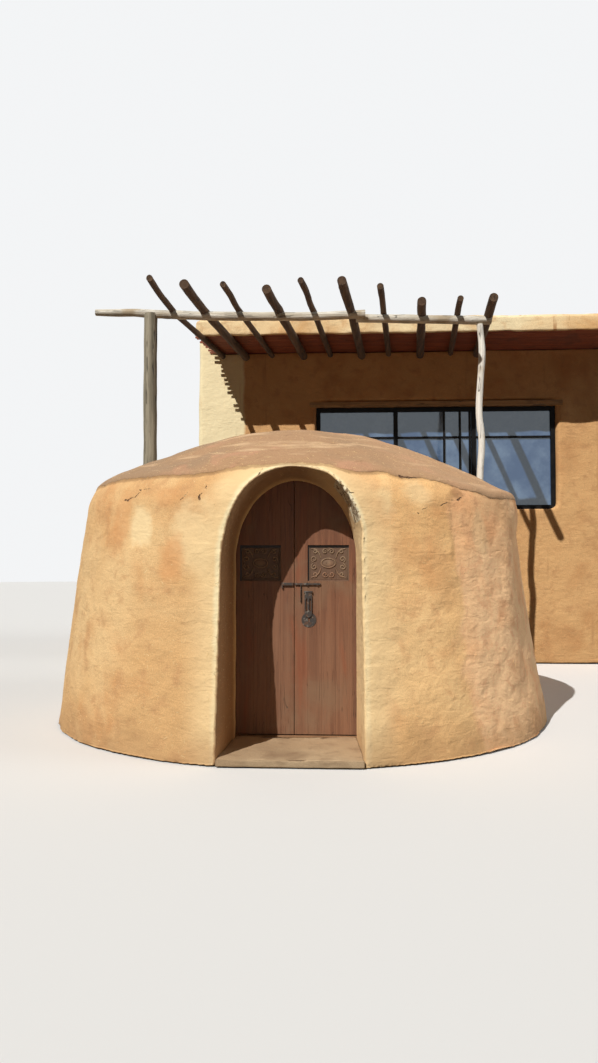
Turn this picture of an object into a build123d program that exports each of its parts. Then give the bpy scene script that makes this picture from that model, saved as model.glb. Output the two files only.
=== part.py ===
from build123d import *
import math
import os

os.makedirs("parts", exist_ok=True)

# Adobe house in millimetres. The origin is the plan centre of the round domed room,
# on the ground. +X is right, +Y goes back from the entrance, +Z is up.

# Round domed room
dome_base_radius = 2270
eaves_radius = 2010
crown_rise = 525  # from the top of the walls to the crown of the roof
crown_thickness = 200
roof_radius = 3530
shoulder_radius = 360
room_radius = 1380
head_height = 98  # of wall over the arched opening
front_half_angle = 33
floor_thickness = 60
gap = 0.3  # between curved or sliding faces that seat on each other
margin = 100  # how far a cutting shape runs past what it cuts

# Arched doorway, seen from outside
doorway_x = 20
doorway_width = 950
arch_spring = 1440
arch_top = 2067
frame_setback = 50  # from the room to where the reveal ends and the door frame stands
outer_widening = 60  # of each side of the opening, from the frame to where its cut starts
outer_arch_rise = 160
opening_rounding = 18  # the plaster's rounded edge round the doorway
rebate_side = 120  # how much wider the frame's rebate is than the reveal, each side

# Door frame and its two leaves, which turn on round wooden heels
door_gap = 5
seam_offset = -14  # of the seam between the leaves from the doorway's middle
heel_gap = 8
leaf_thickness = 45
leaf_lap = 25  # how far a leaf laps behind the reveal's sides
leaf_top_lap = 35
pivot_radius = 16
pivot_length = 30
pivot_clearance = 0.6
panel_inner_side = 107  # of plain leaf between the seam and the panel
panel_width = 327
panel_height = 284
panel_z = 1418
pocket_depth = 18
panel_thickness = 8
panel_border = 22
border_height = 7
oval_width = 100
oval_height = 72

# Sliding bolt, hasp and lock plate
iron = 3
bolt_z = 1251
bolt_height = 14
bolt_depth = 10
bolt_length = 204
bolt_clearance = 0.6
staple_width = 10
staple_places = [103, 185]
grip_x = 54
grip_radius = 4.5
grip_length = 140
catch_length = 95
hook_width = 11
hook_drop = 30
hasp_x = 112
hasp_z = 1188
hasp_width = 58
hasp_length = 198
hasp_thickness = 6
hasp_slot_width = 13
hasp_slot_length = 100
hasp_slot_offset = 14.5
hasp_pin_radius = 4
hasp_eye_radius = 8
lock_plate_x = 117
lock_plate_z = 968
lock_plate_radius = 59
keyhole_radius = 8
keyhole_length = 34

# Rectangular house behind the dome
house_left = -1720
house_width = 6920
house_front = 3800
house_depth = 4000
house_wall = 300
wall_rounding = 45
soffit_z = 4500
board_thickness = 30
slab_thickness = 200
overhang = 960
slab_rounding = 60
slab_side = 65  # how far the slab's overhang reaches past the house's left wall line
window_left = 20
window_width = 3440
window_sill = 2200
window_head = 3690
window_panes = 3
lintel_height = 80
lintel_bearing = 100
upper_floor_top = 2100
upper_floor_thickness = 200
window_inset = 80
window_depth = 80
window_bar = 60
glass_thickness = 8

# Pergola of poles. Each rafter lies on the beam and runs into the house wall.
rafter_skew = 5  # degrees off the wall's normal
rafter_places = [75, 412, 796, 1261, 1649, 2104, 2492, 2948, 3385, 3758]  # along the wall's face
rafter_fronts = [560, 715, 775, 905, 705, 690, 930, 1400, 1380, 1320]
rafter_bends = [-115, -58, -33, -10, 0, 0, 0, 0, 0, 0]  # sideways where it crosses the beam
rafter_tips = [-30, -32, -5, -35, -8, -30, 0, 0, 0, 0]  # sideways at its free end
thick_rafter = 120
thin_rafter = 85
rafter_bedding = 200  # length inside the wall
top_flat = 5  # shaved off a rafter under the boards
seat_flat = 4  # shaved off a thin rafter over the beam
seat_side = 30  # how much wider than its rafter a seat in the beam is
seat_reach = 125  # how far a rafter's notch runs past the beam
beam_y = 1700
beam_radius = 55
beam_flat = 5  # shaved off the beam under the rafters
post_flat = 5  # shaved off the beam over a post
left_post_inset = 370  # from the side of the dome's foot
left_post_radius = 80
left_overhang = 668  # from the left post to the beam's end
right_post_offset = -86  # from the last rafter
right_post_radius = 42
right_overhang = 140
left_pole_slope = 40  # how much higher the beam is at the left post than in the middle
left_pole_back = -65  # where the beam crosses each post, behind beam_y
right_pole_back = 258
splice_offset = 4  # sideways room between the two poles where they lie together
fork_side = 3  # room at each side of the beam in the left post's forked top

# Values that follow from the sizes above
wall_top = arch_top + head_height
dome_crown = wall_top + crown_rise
room_crown = dome_crown - crown_thickness
reveal_back = -room_radius - frame_setback
rebate_half = doorway_width / 2 + rebate_side
leaf_bottom = floor_thickness + 2 * door_gap
leaf_top = arch_top + leaf_top_lap
leaf_front = reveal_back + door_gap
leaf_back = leaf_front + leaf_thickness
seam_x = doorway_x + seam_offset
panel_x = panel_inner_side + panel_width / 2
pivot_offset = doorway_width / 2 + leaf_lap - leaf_thickness / 2
pivot_y = leaf_front + leaf_thickness / 2
house_right = house_left + house_width
house_back = house_front + house_depth
inner_left = house_left + house_wall
inner_right = house_right - house_wall
inner_front = house_front + house_wall
inner_back = house_back - house_wall
roof_top = soffit_z + board_thickness + slab_thickness
beam_seat_z = soffit_z + top_flat - thin_rafter + seat_flat
beam_z = beam_seat_z + beam_flat - beam_radius
skew_slope = math.tan(math.radians(rafter_skew))
left_post_x = left_post_inset - dome_base_radius


def finish(piece, name):
    piece.part.label = name
    export_step(piece.part, f"parts/{name}.step")


def box_between(x_span, y_span, z_span, mode=Mode.ADD):
    """Adds or cuts a box between three pairs of coordinates in the current part."""
    with Locations((sum(x_span) / 2, sum(y_span) / 2, sum(z_span) / 2)):
        Box(x_span[1] - x_span[0], y_span[1] - y_span[0], z_span[1] - z_span[0], mode=mode)


def crooked_pole(points, radius, normal):
    """A pole lofted through round sections square to one axis, given as (x, y, z, scale)."""
    with BuildPart() as pole:
        for x, y, z, scale in points:
            with BuildSketch(Plane(origin=(x, y, z), z_dir=normal)):
                Circle(radius * scale)
        loft(ruled=True)
    return pole


def block(x_span, y_span, z_span):
    """A rectangular piece by itself."""
    with BuildPart() as piece:
        box_between(x_span, y_span, z_span)
    return piece


def facing(y, x=0.0):
    """A plane that looks out of the entrance, with its Y axis up."""
    return Plane(origin=(x, y, 0), x_dir=(1, 0, 0), z_dir=(0, -1, 0))


def radial_plane(angle):
    turn = math.radians(angle)
    return Plane(
        origin=(0, 0, 0),
        x_dir=(math.cos(turn), math.sin(turn), 0),
        z_dir=(math.sin(turn), -math.cos(turn), 0),
    )


def cap_height(radius, crown, distance):
    """Height of a round cap at a distance from the dome's axis."""
    return crown - radius + math.sqrt(radius**2 - distance**2)


# Section of the domed room: leaning wall, soft shoulder and low crowned roof

eaves_z = cap_height(roof_radius, dome_crown, eaves_radius)
room_rise = room_crown - wall_top
room_cap_radius = (room_radius**2 + room_rise**2) / (2 * room_rise)

with BuildSketch() as dome_section:
    with BuildLine():
        Polyline((0, dome_crown), (0, 0), (dome_base_radius, 0), (eaves_radius, eaves_z))
        ThreePointArc(
            (eaves_radius, eaves_z),
            (eaves_radius / 2, cap_height(roof_radius, dome_crown, eaves_radius / 2)),
            (0, dome_crown),
        )
    make_face()
    fillet(dome_section.vertices().sort_by_distance((eaves_radius, eaves_z))[0], radius=shoulder_radius)
    with BuildLine():
        Polyline((0, room_crown), (0, 0), (room_radius, 0), (room_radius, wall_top))
        ThreePointArc(
            (room_radius, wall_top),
            (room_radius / 2, cap_height(room_cap_radius, room_crown, room_radius / 2)),
            (0, room_crown),
        )
    make_face(mode=Mode.SUBTRACT)

with BuildSketch() as wall_section:
    add(dome_section.sketch)
    with Locations((dome_base_radius / 2, wall_top / 2)):
        Rectangle(dome_base_radius * 2, wall_top, mode=Mode.INTERSECT)


def dome_sector(section, start, sweep):
    with BuildPart() as piece:
        with BuildSketch(radial_plane(start)):
            add(section.sketch)
        revolve(axis=Axis.Z, revolution_arc=sweep)
    return piece


segment_sweep = (360 - 2 * front_half_angle) / 3
segment_start = -90 + front_half_angle
for index, name in enumerate(["dome_wall_right", "dome_wall_back", "dome_wall_left"]):
    finish(dome_sector(wall_section, segment_start + index * segment_sweep, segment_sweep), name)

with BuildPart() as dome_roof:
    with BuildSketch(radial_plane(0)) as roof_section:
        add(dome_section.sketch)
        with Locations((dome_base_radius / 2, wall_top / 2)):
            Rectangle(dome_base_radius * 2, wall_top, mode=Mode.SUBTRACT)
    revolve(axis=Axis.Z)
finish(dome_roof, "dome_roof")


# Arched doorway, cut with a reveal that flares outwards

def arch_outline(half_width, top):
    with BuildSketch() as outline:
        with BuildLine():
            Polyline(
                (-half_width, arch_spring),
                (-half_width, -margin),
                (half_width, -margin),
                (half_width, arch_spring),
            )
            EllipticalCenterArc((0, arch_spring), half_width, top - arch_spring, arc_size=180)
        make_face()
    return outline.sketch


cut_start = -dome_base_radius - 2 * margin
outer_half_width = doorway_width / 2 + outer_widening
outer_top = arch_top + outer_arch_rise
inner_outline = arch_outline(doorway_width / 2, arch_top)
outer_outline = arch_outline(outer_half_width, outer_top)

with BuildPart() as doorway:
    with BuildSketch(facing(reveal_back, doorway_x)):
        add(inner_outline)
    with BuildSketch(facing(cut_start, doorway_x)):
        add(outer_outline)
    loft()


def round_the_opening(edge):
    """True for the edges where the doorway meets the outer face of the wall."""
    ends = (edge.position_at(0), edge.position_at(1))
    beside = all(abs(end.X - doorway_x) < outer_half_width for end in ends)
    in_front = all(end.Y < reveal_back - opening_rounding for end in ends)
    return beside and in_front and edge.center().Z > opening_rounding


plain_front = dome_sector(dome_section, -90 - front_half_angle, 2 * front_half_angle)
with BuildPart() as front_wall:
    add(plain_front.part)
    add(doorway.part, mode=Mode.SUBTRACT)
    fillet(front_wall.edges().filter_by(round_the_opening), radius=opening_rounding)
    box_between(
        (doorway_x - rebate_half, doorway_x + rebate_half),
        (reveal_back, 0),
        (-margin, wall_top + margin),
        mode=Mode.SUBTRACT,
    )


def front_piece(name, x_span, z_span):
    with BuildPart() as piece:
        add(front_wall.part)
        box_between(x_span, (-dome_base_radius, 0), z_span, mode=Mode.INTERSECT)
    finish(piece, name)


front_piece("door_pier_left", (-dome_base_radius, doorway_x), (0, arch_spring))
front_piece("door_pier_right", (doorway_x, dome_base_radius), (0, arch_spring))
front_piece("door_arch", (-dome_base_radius, dome_base_radius), (arch_spring, wall_top))


# Floor of the domed room, with sockets for the door's lower pivots, and the doorstep

with BuildPart() as dome_floor:
    Cylinder(room_radius - gap, floor_thickness, align=(Align.CENTER, Align.CENTER, Align.MIN))
    box_between(
        (doorway_x - rebate_half + gap, doorway_x + rebate_half - gap),
        (reveal_back, 0),
        (0, floor_thickness),
    )
    with Locations(
        (doorway_x - pivot_offset, pivot_y, floor_thickness),
        (doorway_x + pivot_offset, pivot_y, floor_thickness),
    ):
        Hole(pivot_radius + pivot_clearance, depth=pivot_length - leaf_bottom + floor_thickness + gap)
finish(dome_floor, "dome_floor")

step_front = -math.sqrt(dome_base_radius**2 - (doorway_width / 2) ** 2)
doorstep = block(
    (doorway_x - doorway_width / 2 + gap, doorway_x + doorway_width / 2 - gap),
    (step_front, reveal_back),
    (0, floor_thickness),
)
finish(doorstep, "doorstep")


# Door frame: two posts and a head, with sockets for the upper pivots

post_inner = pivot_offset + leaf_thickness / 2 + heel_gap
frame_head_z = leaf_top + door_gap
frame_span = (reveal_back, leaf_back)
with BuildPart() as door_frame:
    for side in (-1, 1):
        post_x = sorted((doorway_x + side * post_inner, doorway_x + side * rebate_half))
        box_between(post_x, frame_span, (floor_thickness, frame_head_z))
    box_between(
        (doorway_x - rebate_half, doorway_x + rebate_half), frame_span, (frame_head_z, wall_top)
    )
    for side in (-1, 1):
        with Locations((doorway_x + side * pivot_offset, pivot_y, frame_head_z)):
            Cylinder(
                pivot_radius + pivot_clearance,
                pivot_length + pivot_clearance,
                align=(Align.CENTER, Align.CENTER, Align.MIN),
                mode=Mode.SUBTRACT,
            )
finish(door_frame, "door_frame")


# Door leaves, each turned round at its heel, with a pocket for the carved panel

def door_leaf(side):
    inner_x = seam_x + side * door_gap / 2
    pivot_x = doorway_x + side * pivot_offset
    with BuildPart() as leaf:
        box_between(sorted((inner_x, pivot_x)), (leaf_front, leaf_back), (leaf_bottom, leaf_top))
        with Locations((pivot_x, pivot_y, leaf_bottom)):
            Cylinder(
                leaf_thickness / 2,
                leaf_top - leaf_bottom,
                align=(Align.CENTER, Align.CENTER, Align.MIN),
            )
        with Locations((pivot_x, pivot_y, leaf_bottom - pivot_length)):
            Cylinder(
                pivot_radius,
                leaf_top - leaf_bottom + 2 * pivot_length,
                align=(Align.CENTER, Align.CENTER, Align.MIN),
            )
        with BuildSketch(facing(leaf_front, seam_x + side * panel_x)):
            with Locations((0, panel_z)):
                Rectangle(panel_width, panel_height)
        extrude(amount=-pocket_depth, mode=Mode.SUBTRACT)
    return leaf


def carved_panel(side):
    back = leaf_front + pocket_depth
    with BuildPart() as panel:
        with BuildSketch(facing(back, seam_x + side * panel_x)):
            with Locations((0, panel_z)):
                Rectangle(panel_width - 2 * gap, panel_height - 2 * gap)
        extrude(amount=panel_thickness)
        with BuildSketch(facing(back - panel_thickness, seam_x + side * panel_x)):
            with Locations((0, panel_z)):
                Rectangle(panel_width - 2 * gap, panel_height - 2 * gap)
                Rectangle(
                    panel_width - 2 * panel_border, panel_height - 2 * panel_border, mode=Mode.SUBTRACT
                )
                Ellipse(oval_width / 2, oval_height / 2)
        extrude(amount=border_height)
    return panel


for side, hand in ((-1, "left"), (1, "right")):
    finish(door_leaf(side), f"{hand}_door_leaf")
    finish(carved_panel(side), f"{hand}_carved_panel")


# Bolt, drawn back, with its hanging grip

bolt_back = leaf_front - door_gap
bolt_front = bolt_back - bolt_depth
bolt_start = seam_x + door_gap
bolt_bottom = bolt_z - bolt_height / 2
with BuildPart() as bolt:
    box_between(
        (bolt_start, bolt_start + bolt_length),
        (bolt_front, bolt_back),
        (bolt_bottom, bolt_bottom + bolt_height),
    )
    with Locations((seam_x + grip_x, (bolt_front + bolt_back) / 2, bolt_bottom + iron)):
        Cylinder(grip_radius, grip_length, align=(Align.CENTER, Align.CENTER, Align.MAX))
finish(bolt, "bolt")


# Staples that guide the bolt, and the ears and pin that carry the hasp

staple_front = bolt_front - bolt_clearance - iron
hasp_pin_y = leaf_front - door_gap - hasp_eye_radius
ear_offset = hasp_width / 2 + bolt_clearance
with BuildPart() as latch_staples:
    for place in staple_places:
        staple_x = (seam_x + place - staple_width / 2, seam_x + place + staple_width / 2)
        opening_height = bolt_height + 2 * bolt_clearance
        opening_z = (bolt_z - opening_height / 2, bolt_z + opening_height / 2)
        box_between(staple_x, (staple_front, leaf_front), (opening_z[0] - iron, opening_z[1] + iron))
        box_between(staple_x, (bolt_front - bolt_clearance, leaf_front), opening_z, Mode.SUBTRACT)
    for side in (-1, 1):
        ear_x = sorted(
            (seam_x + hasp_x + side * ear_offset, seam_x + hasp_x + side * (ear_offset + iron))
        )
        box_between(
            ear_x,
            (hasp_pin_y - hasp_eye_radius, leaf_front),
            (hasp_z - hasp_eye_radius, hasp_z + hasp_eye_radius),
        )
    with Locations(Plane(origin=(seam_x + hasp_x, hasp_pin_y, hasp_z), z_dir=(1, 0, 0))):
        Cylinder(hasp_pin_radius, 2 * (ear_offset + iron))
finish(latch_staples, "latch_staples")

with BuildPart() as hasp:
    with BuildSketch(facing(hasp_pin_y + hasp_thickness / 2, seam_x + hasp_x)):
        with Locations((0, hasp_z - hasp_length / 2)):
            SlotOverall(hasp_length, hasp_width, rotation=90)
        with Locations((0, hasp_z)):
            Rectangle(hasp_width, 2 * hasp_eye_radius)
        for side in (-1, 1):
            with Locations((side * hasp_slot_offset, hasp_z - hasp_length / 2)):
                SlotOverall(hasp_slot_length, hasp_slot_width, rotation=90, mode=Mode.SUBTRACT)
    extrude(amount=hasp_thickness)
    with Locations(Plane(origin=(seam_x + hasp_x, hasp_pin_y, hasp_z), z_dir=(1, 0, 0))):
        Cylinder(hasp_eye_radius, hasp_width)
        Cylinder(hasp_pin_radius + pivot_clearance, 2 * hasp_width, mode=Mode.SUBTRACT)
finish(hasp, "hasp")

with BuildPart() as lock_plate:
    with BuildSketch(facing(leaf_front, seam_x + lock_plate_x)):
        with Locations((0, lock_plate_z)):
            Circle(lock_plate_radius)
            SlotOverall(keyhole_length, keyhole_radius, rotation=90, mode=Mode.SUBTRACT)
        with Locations((0, lock_plate_z + keyhole_length / 2 - keyhole_radius)):
            Circle(keyhole_radius, mode=Mode.SUBTRACT)
    extrude(amount=iron)
finish(lock_plate, "lock_plate")

catch_mouth = seam_x - door_gap
catch_end = catch_mouth - catch_length
catch_half = bolt_height / 2 + bolt_clearance + iron
with BuildPart() as bolt_catch:
    box_between(
        (catch_end, catch_mouth), (staple_front, leaf_front), (bolt_z - catch_half, bolt_z + catch_half)
    )
    box_between(
        (catch_end + hook_width, catch_mouth),
        (staple_front + iron, leaf_front),
        (bolt_z - catch_half + iron, bolt_z + catch_half - iron),
        mode=Mode.SUBTRACT,
    )
    with BuildSketch(facing(leaf_front, catch_end + hook_width / 2)):
        with Locations((0, bolt_z - hook_drop / 2)):
            SlotOverall(hook_drop + hook_width, hook_width, rotation=90)
    extrude(amount=leaf_front - staple_front)
finish(bolt_catch, "bolt_catch")


# House walls

house_y = (house_front, house_back)
for name, x_span, outer_side in (
    ("house_wall_left", (house_left, inner_left), 0),
    ("house_wall_right", (inner_right, house_right), -1),
):
    with BuildPart() as side_wall:
        box_between(x_span, house_y, (0, roof_top))
        outer_face = side_wall.faces().sort_by(Axis.X)[outer_side]
        outer_foot = outer_face.edges().sort_by(Axis.Z)[0]
        fillet(outer_face.edges().filter_by(lambda edge: edge != outer_foot), radius=wall_rounding)
    finish(side_wall, name)
finish(block((inner_left, inner_right), (inner_back, house_back), (0, soffit_z)), "house_wall_back")

window_right = window_left + window_width
lintel_x = (window_left - lintel_bearing, window_right + lintel_bearing)
lintel_z = (window_head, window_head + lintel_height)
front_y = (house_front, inner_front)
finish(block(lintel_x, front_y, lintel_z), "window_lintel")
finish(block((inner_left, inner_right), front_y, (0, window_sill)), "front_wall_base")
for name, x_span in (
    ("front_pier_left", (inner_left, window_left)),
    ("front_pier_right", (window_right, inner_right)),
):
    with BuildPart() as pier:
        box_between(x_span, front_y, (window_sill, lintel_z[1]))
        box_between(lintel_x, front_y, lintel_z, Mode.SUBTRACT)
    finish(pier, name)

finish(
    block(
        (inner_left, inner_right),
        (inner_front, inner_back),
        (upper_floor_top - upper_floor_thickness, upper_floor_top),
    ),
    "upper_floor",
)


# Rafters: poles that bend over the beam, flat on top under the boards and cut to sit on it

def rafter_x(place, y):
    return inner_left + place + (y - house_front) * skew_slope


rafter_end = house_front + rafter_bedding
notch_y = (
    beam_y + left_pole_back - beam_radius - seat_reach,
    beam_y + right_pole_back + beam_radius + seat_reach,
)
rafters = []
for index, (place, front_end, bend, tip) in enumerate(
    zip(rafter_places, rafter_fronts, rafter_bends, rafter_tips)
):
    diameter = thick_rafter if index % 2 else thin_rafter
    axis_z = soffit_z + top_flat - diameter / 2
    start = (rafter_x(place, front_end) + tip, front_end, axis_z, 1.0)
    crossing = (rafter_x(place, beam_y) + bend, beam_y, axis_z, 1.0)
    end = (rafter_x(place, rafter_end), rafter_end, axis_z, 1.0)
    pocket_end = (rafter_x(place, rafter_end + gap), rafter_end + gap, axis_z, 1.0)
    seat_middle = crossing[0]
    notch_x = (seat_middle - 2 * diameter, seat_middle + 2 * diameter)
    with BuildPart() as rafter:
        add(crooked_pole((start, crossing, end), diameter / 2, (0, 1, 0)).part)
        box_between(
            (start[0] - diameter, end[0] + diameter),
            (0, rafter_end + margin),
            (soffit_z, soffit_z + diameter),
            mode=Mode.SUBTRACT,
        )
        box_between(notch_x, notch_y, (beam_seat_z - diameter, beam_seat_z), Mode.SUBTRACT)
    finish(rafter, f"rafter_{index + 1}")
    rafters.append((seat_middle, diameter, crossing, pocket_end))

with BuildPart() as front_wall_top:
    box_between((inner_left, inner_right), front_y, (lintel_z[1], soffit_z))
    for seat_middle, diameter, crossing, pocket_end in rafters:
        pocket = crooked_pole((crossing, pocket_end), diameter / 2 + gap, (0, 1, 0))
        add(pocket.part, mode=Mode.SUBTRACT)
finish(front_wall_top, "front_wall_top")


# Crooked beam of two poles laid side by side where they meet, and crooked posts

right_post_x = rafters[-1][0] + right_post_offset


def along_beam(share):
    """The x of a point between the two posts."""
    return left_post_x + share * (right_post_x - left_post_x)


def beam_point(x, behind, wander, rise, scale):
    """A point of a beam pole. It wanders off its line and rises by shares of the pole's radius."""
    return (x, beam_y + behind + wander * beam_radius, beam_z + rise * beam_radius, scale)


left_rise = left_pole_slope / beam_radius
left_beam_line = [
    beam_point(left_post_x - left_overhang, left_pole_back, -0.45, left_rise + 0.4, 0.75),
    beam_point(left_post_x, left_pole_back, 0, left_rise, 0.98),
    beam_point(along_beam(0.09), left_pole_back, 0.22, 0.6 * left_rise, 1.0),
    beam_point(along_beam(0.18), left_pole_back, 0.45, 0.3 * left_rise, 1.02),
    beam_point(along_beam(0.37), left_pole_back, 0.82, 0, 1.0),
    beam_point(along_beam(0.5), 0, 0, 0, 0.98),
    beam_point(along_beam(0.65), 0, 0, 0.33, 0.94),
]
splice_back = 2 * beam_radius + splice_offset
right_beam_line = [
    beam_point(along_beam(0.62), splice_back, 0, 0.07, 0.96),
    beam_point(along_beam(0.74), splice_back, 0.75, 0.04, 1.0),
    beam_point(along_beam(0.89), right_pole_back, -0.87, 0, 1.0),
    beam_point(right_post_x, right_pole_back, 0, 0, 0.97),
    beam_point(right_post_x + right_overhang, right_pole_back, 0.22, 0, 0.96),
]
left_post_top = beam_z + left_pole_slope - beam_radius + post_flat
right_post_top = beam_z - beam_radius + post_flat


def beam_pole(line, post_x, post_top, post_radius):
    bent = crooked_pole(line, beam_radius, (1, 0, 0))
    beside_y = (beam_y - margin - splice_back, beam_y + margin + right_pole_back + beam_radius)
    with BuildPart() as pole:
        add(bent.part)
        for seat_middle, diameter, crossing, pocket_end in rafters:
            seat_half = diameter / 2 + seat_side
            seat_x = (seat_middle - seat_half, seat_middle + seat_half)
            box_between(seat_x, beside_y, (beam_seat_z, beam_seat_z + margin), Mode.SUBTRACT)
        post_seat_x = (post_x - post_radius - seat_side, post_x + post_radius + seat_side)
        box_between(post_seat_x, beside_y, (post_top - margin, post_top), Mode.SUBTRACT)
    return pole


finish(beam_pole(left_beam_line, left_post_x, left_post_top, left_post_radius), "beam_left")
finish(beam_pole(right_beam_line, right_post_x, right_post_top, right_post_radius), "beam_right")

left_post_y = beam_y + left_pole_back
fork_top = left_post_top + beam_radius
left_post_line = [
    (left_post_x, left_post_y, 0, 1.08),
    (left_post_x + 0.08 * left_post_radius, left_post_y, fork_top / 2, 1.03),
    (left_post_x, left_post_y, fork_top, 1.0),
]
plain_post = crooked_pole(left_post_line, left_post_radius, (0, 0, 1))
with BuildPart() as left_post:
    add(plain_post.part)
    box_between(
        (left_post_x - 2 * left_post_radius, left_post_x + 2 * left_post_radius),
        (left_post_y - beam_radius - fork_side, left_post_y + beam_radius + fork_side),
        (left_post_top, fork_top + margin),
        mode=Mode.SUBTRACT,
    )
finish(left_post, "left_post")

post_bends = [0, -0.43, 0.33, -0.24, 0.52, -0.28, -0.57, -0.28, 0.28, -0.4, 0, 0.57, 0]
right_post_line = []
for index, bend in enumerate(post_bends):
    bend_x = right_post_x + bend * right_post_radius
    height = right_post_top * index / (len(post_bends) - 1)
    right_post_line.append((bend_x, beam_y + right_pole_back, height, 1.0))
finish(crooked_pole(right_post_line, right_post_radius, (0, 0, 1)), "right_post")


# Roof of the house: boards over the rafters and walls, and a plastered earth slab

edge_y = house_front - overhang
edge_shift = overhang * skew_slope


def roof_layer(bottom, thickness, left_side=0):
    """A layer of the roof, whose overhang may reach further out on the left."""
    outline = [
        (inner_left - edge_shift - left_side, edge_y),
        (inner_right - edge_shift, edge_y),
        (inner_right, house_front),
        (inner_right, house_back),
        (inner_left, house_back),
        (inner_left, house_front),
    ]
    if left_side:
        outline.append((inner_left - left_side, house_front))
    with BuildPart() as layer:
        with BuildSketch(Plane.XY.offset(bottom)):
            with BuildLine():
                Polyline(*outline, close=True)
            make_face()
        extrude(amount=thickness)
    return layer


finish(roof_layer(soffit_z, board_thickness), "roof_boards")

with BuildPart() as roof_slab:
    add(roof_layer(soffit_z + board_thickness, slab_thickness, slab_side).part)
    top_edges = roof_slab.faces().sort_by(Axis.Z)[-1].edges()
    fillet(top_edges.filter_by(lambda edge: edge.center().Y < house_front), radius=slab_rounding)
finish(roof_slab, "roof_slab")


# Window: a frame with upright bars and a pane in each opening

frame_y = (house_front + window_inset, house_front + window_inset + window_depth)
pane_width = (window_width - window_bar * (window_panes + 1)) / window_panes
pane_starts = [
    window_left + window_bar + index * (pane_width + window_bar) for index in range(window_panes)
]
pane_z = (window_sill + window_bar, window_head - window_bar)
glass_y = (sum(frame_y) / 2 - glass_thickness / 2, sum(frame_y) / 2 + glass_thickness / 2)

with BuildPart() as window_frame:
    box_between((window_left, window_right), frame_y, (window_sill, window_head))
    for pane_start in pane_starts:
        box_between((pane_start, pane_start + pane_width), frame_y, pane_z, Mode.SUBTRACT)
finish(window_frame, "window_frame")

with BuildPart() as window_glass:
    for pane_start in pane_starts:
        box_between((pane_start, pane_start + pane_width), glass_y, pane_z)
finish(window_glass, "window_glass")
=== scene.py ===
import math
import random

import bmesh
import bpy
import numpy as np
from mathutils import Matrix, Vector, noise


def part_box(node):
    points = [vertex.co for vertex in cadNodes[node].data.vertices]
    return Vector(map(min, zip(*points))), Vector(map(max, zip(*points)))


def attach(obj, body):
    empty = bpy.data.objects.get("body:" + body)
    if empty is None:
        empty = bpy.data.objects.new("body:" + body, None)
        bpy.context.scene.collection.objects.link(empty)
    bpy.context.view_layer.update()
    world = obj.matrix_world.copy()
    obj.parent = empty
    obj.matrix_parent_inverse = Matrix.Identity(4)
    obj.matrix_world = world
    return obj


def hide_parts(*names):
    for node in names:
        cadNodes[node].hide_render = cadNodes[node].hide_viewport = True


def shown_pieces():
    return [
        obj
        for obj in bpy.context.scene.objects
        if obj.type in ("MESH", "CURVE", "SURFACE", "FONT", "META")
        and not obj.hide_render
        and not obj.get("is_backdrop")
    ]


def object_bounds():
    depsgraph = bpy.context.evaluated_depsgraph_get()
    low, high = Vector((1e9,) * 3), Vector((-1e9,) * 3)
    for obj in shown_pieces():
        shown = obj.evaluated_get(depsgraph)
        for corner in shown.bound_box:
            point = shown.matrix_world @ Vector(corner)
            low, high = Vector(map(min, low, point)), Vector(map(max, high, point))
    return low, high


# Adobe house with a round domed room, an arched door and a pergola of poles, in metres.
# The origin is the plan centre of the domed room, on the ground.

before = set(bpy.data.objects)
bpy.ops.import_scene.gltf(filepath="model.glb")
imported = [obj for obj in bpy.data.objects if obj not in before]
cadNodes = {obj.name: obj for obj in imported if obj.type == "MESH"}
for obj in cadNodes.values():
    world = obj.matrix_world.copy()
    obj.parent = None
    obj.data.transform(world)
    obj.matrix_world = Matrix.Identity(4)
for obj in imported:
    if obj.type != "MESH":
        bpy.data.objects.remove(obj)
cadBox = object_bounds()
boxLow = np.array(cadBox[0])
boxHigh = np.array(cadBox[1])
scene = bpy.context.scene
scene.view_settings.view_transform = "Standard"
print("stage: frame loaded")


# Node trees: a flow is an output socket, and sums and products of flows add nodes to its tree.

class Flow:
    def __init__(self, socket):
        self.socket = socket
        self.tree = socket.id_data
        self.wide = socket.type in ("VECTOR", "RGBA")

    def __add__(self, other):
        return join("ADD", self, other)

    def __sub__(self, other):
        return join("SUBTRACT", self, other)

    def __rsub__(self, other):
        return join("SUBTRACT", other, self)

    def __mul__(self, other):
        return join("MULTIPLY", self, other)

    def __truediv__(self, other):
        return join("DIVIDE", self, other)

    def __abs__(self):
        return join("ABSOLUTE", self)


def feed(socket, value):
    if isinstance(value, Flow):
        value.tree.links.new(value.socket, socket)
    elif value is not None:
        if socket.type == "VECTOR" and isinstance(value, (int, float)):
            value = (value, value, value)
        socket.default_value = value


def addNode(tree, kind, inputs, **settings):
    made = tree.nodes.new(kind)
    for name, value in settings.items():
        setattr(made, name, value)
    for name, value in inputs.items():
        feed(made.inputs[name], value)
    return made


def nodeOut(tree, kind, inputs, output=0, **settings):
    return Flow(addNode(tree, kind, inputs, **settings).outputs[output])


def join(operation, *values, clamp=False):
    # Vector maths where any value is a vector or a colour, plain maths elsewhere
    tree = next(value.tree for value in values if isinstance(value, Flow))
    inputs = dict(enumerate(values))
    if any(isinstance(value, tuple) or getattr(value, "wide", False) for value in values):
        output = "Value" if operation in ("LENGTH", "DOT_PRODUCT") else "Vector"
        return nodeOut(tree, "ShaderNodeVectorMath", inputs, output, operation=operation)
    return nodeOut(tree, "ShaderNodeMath", inputs, operation=operation, use_clamp=clamp)


def noiseOut(place, scale, detail=2.0, roughness=0.5, distortion=0.0, output=0):
    inputs = {"Vector": place, "Scale": scale, "Detail": detail}
    inputs.update({"Roughness": roughness, "Distortion": distortion})
    return nodeOut(place.tree, "ShaderNodeTexNoise", inputs, output)


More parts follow.
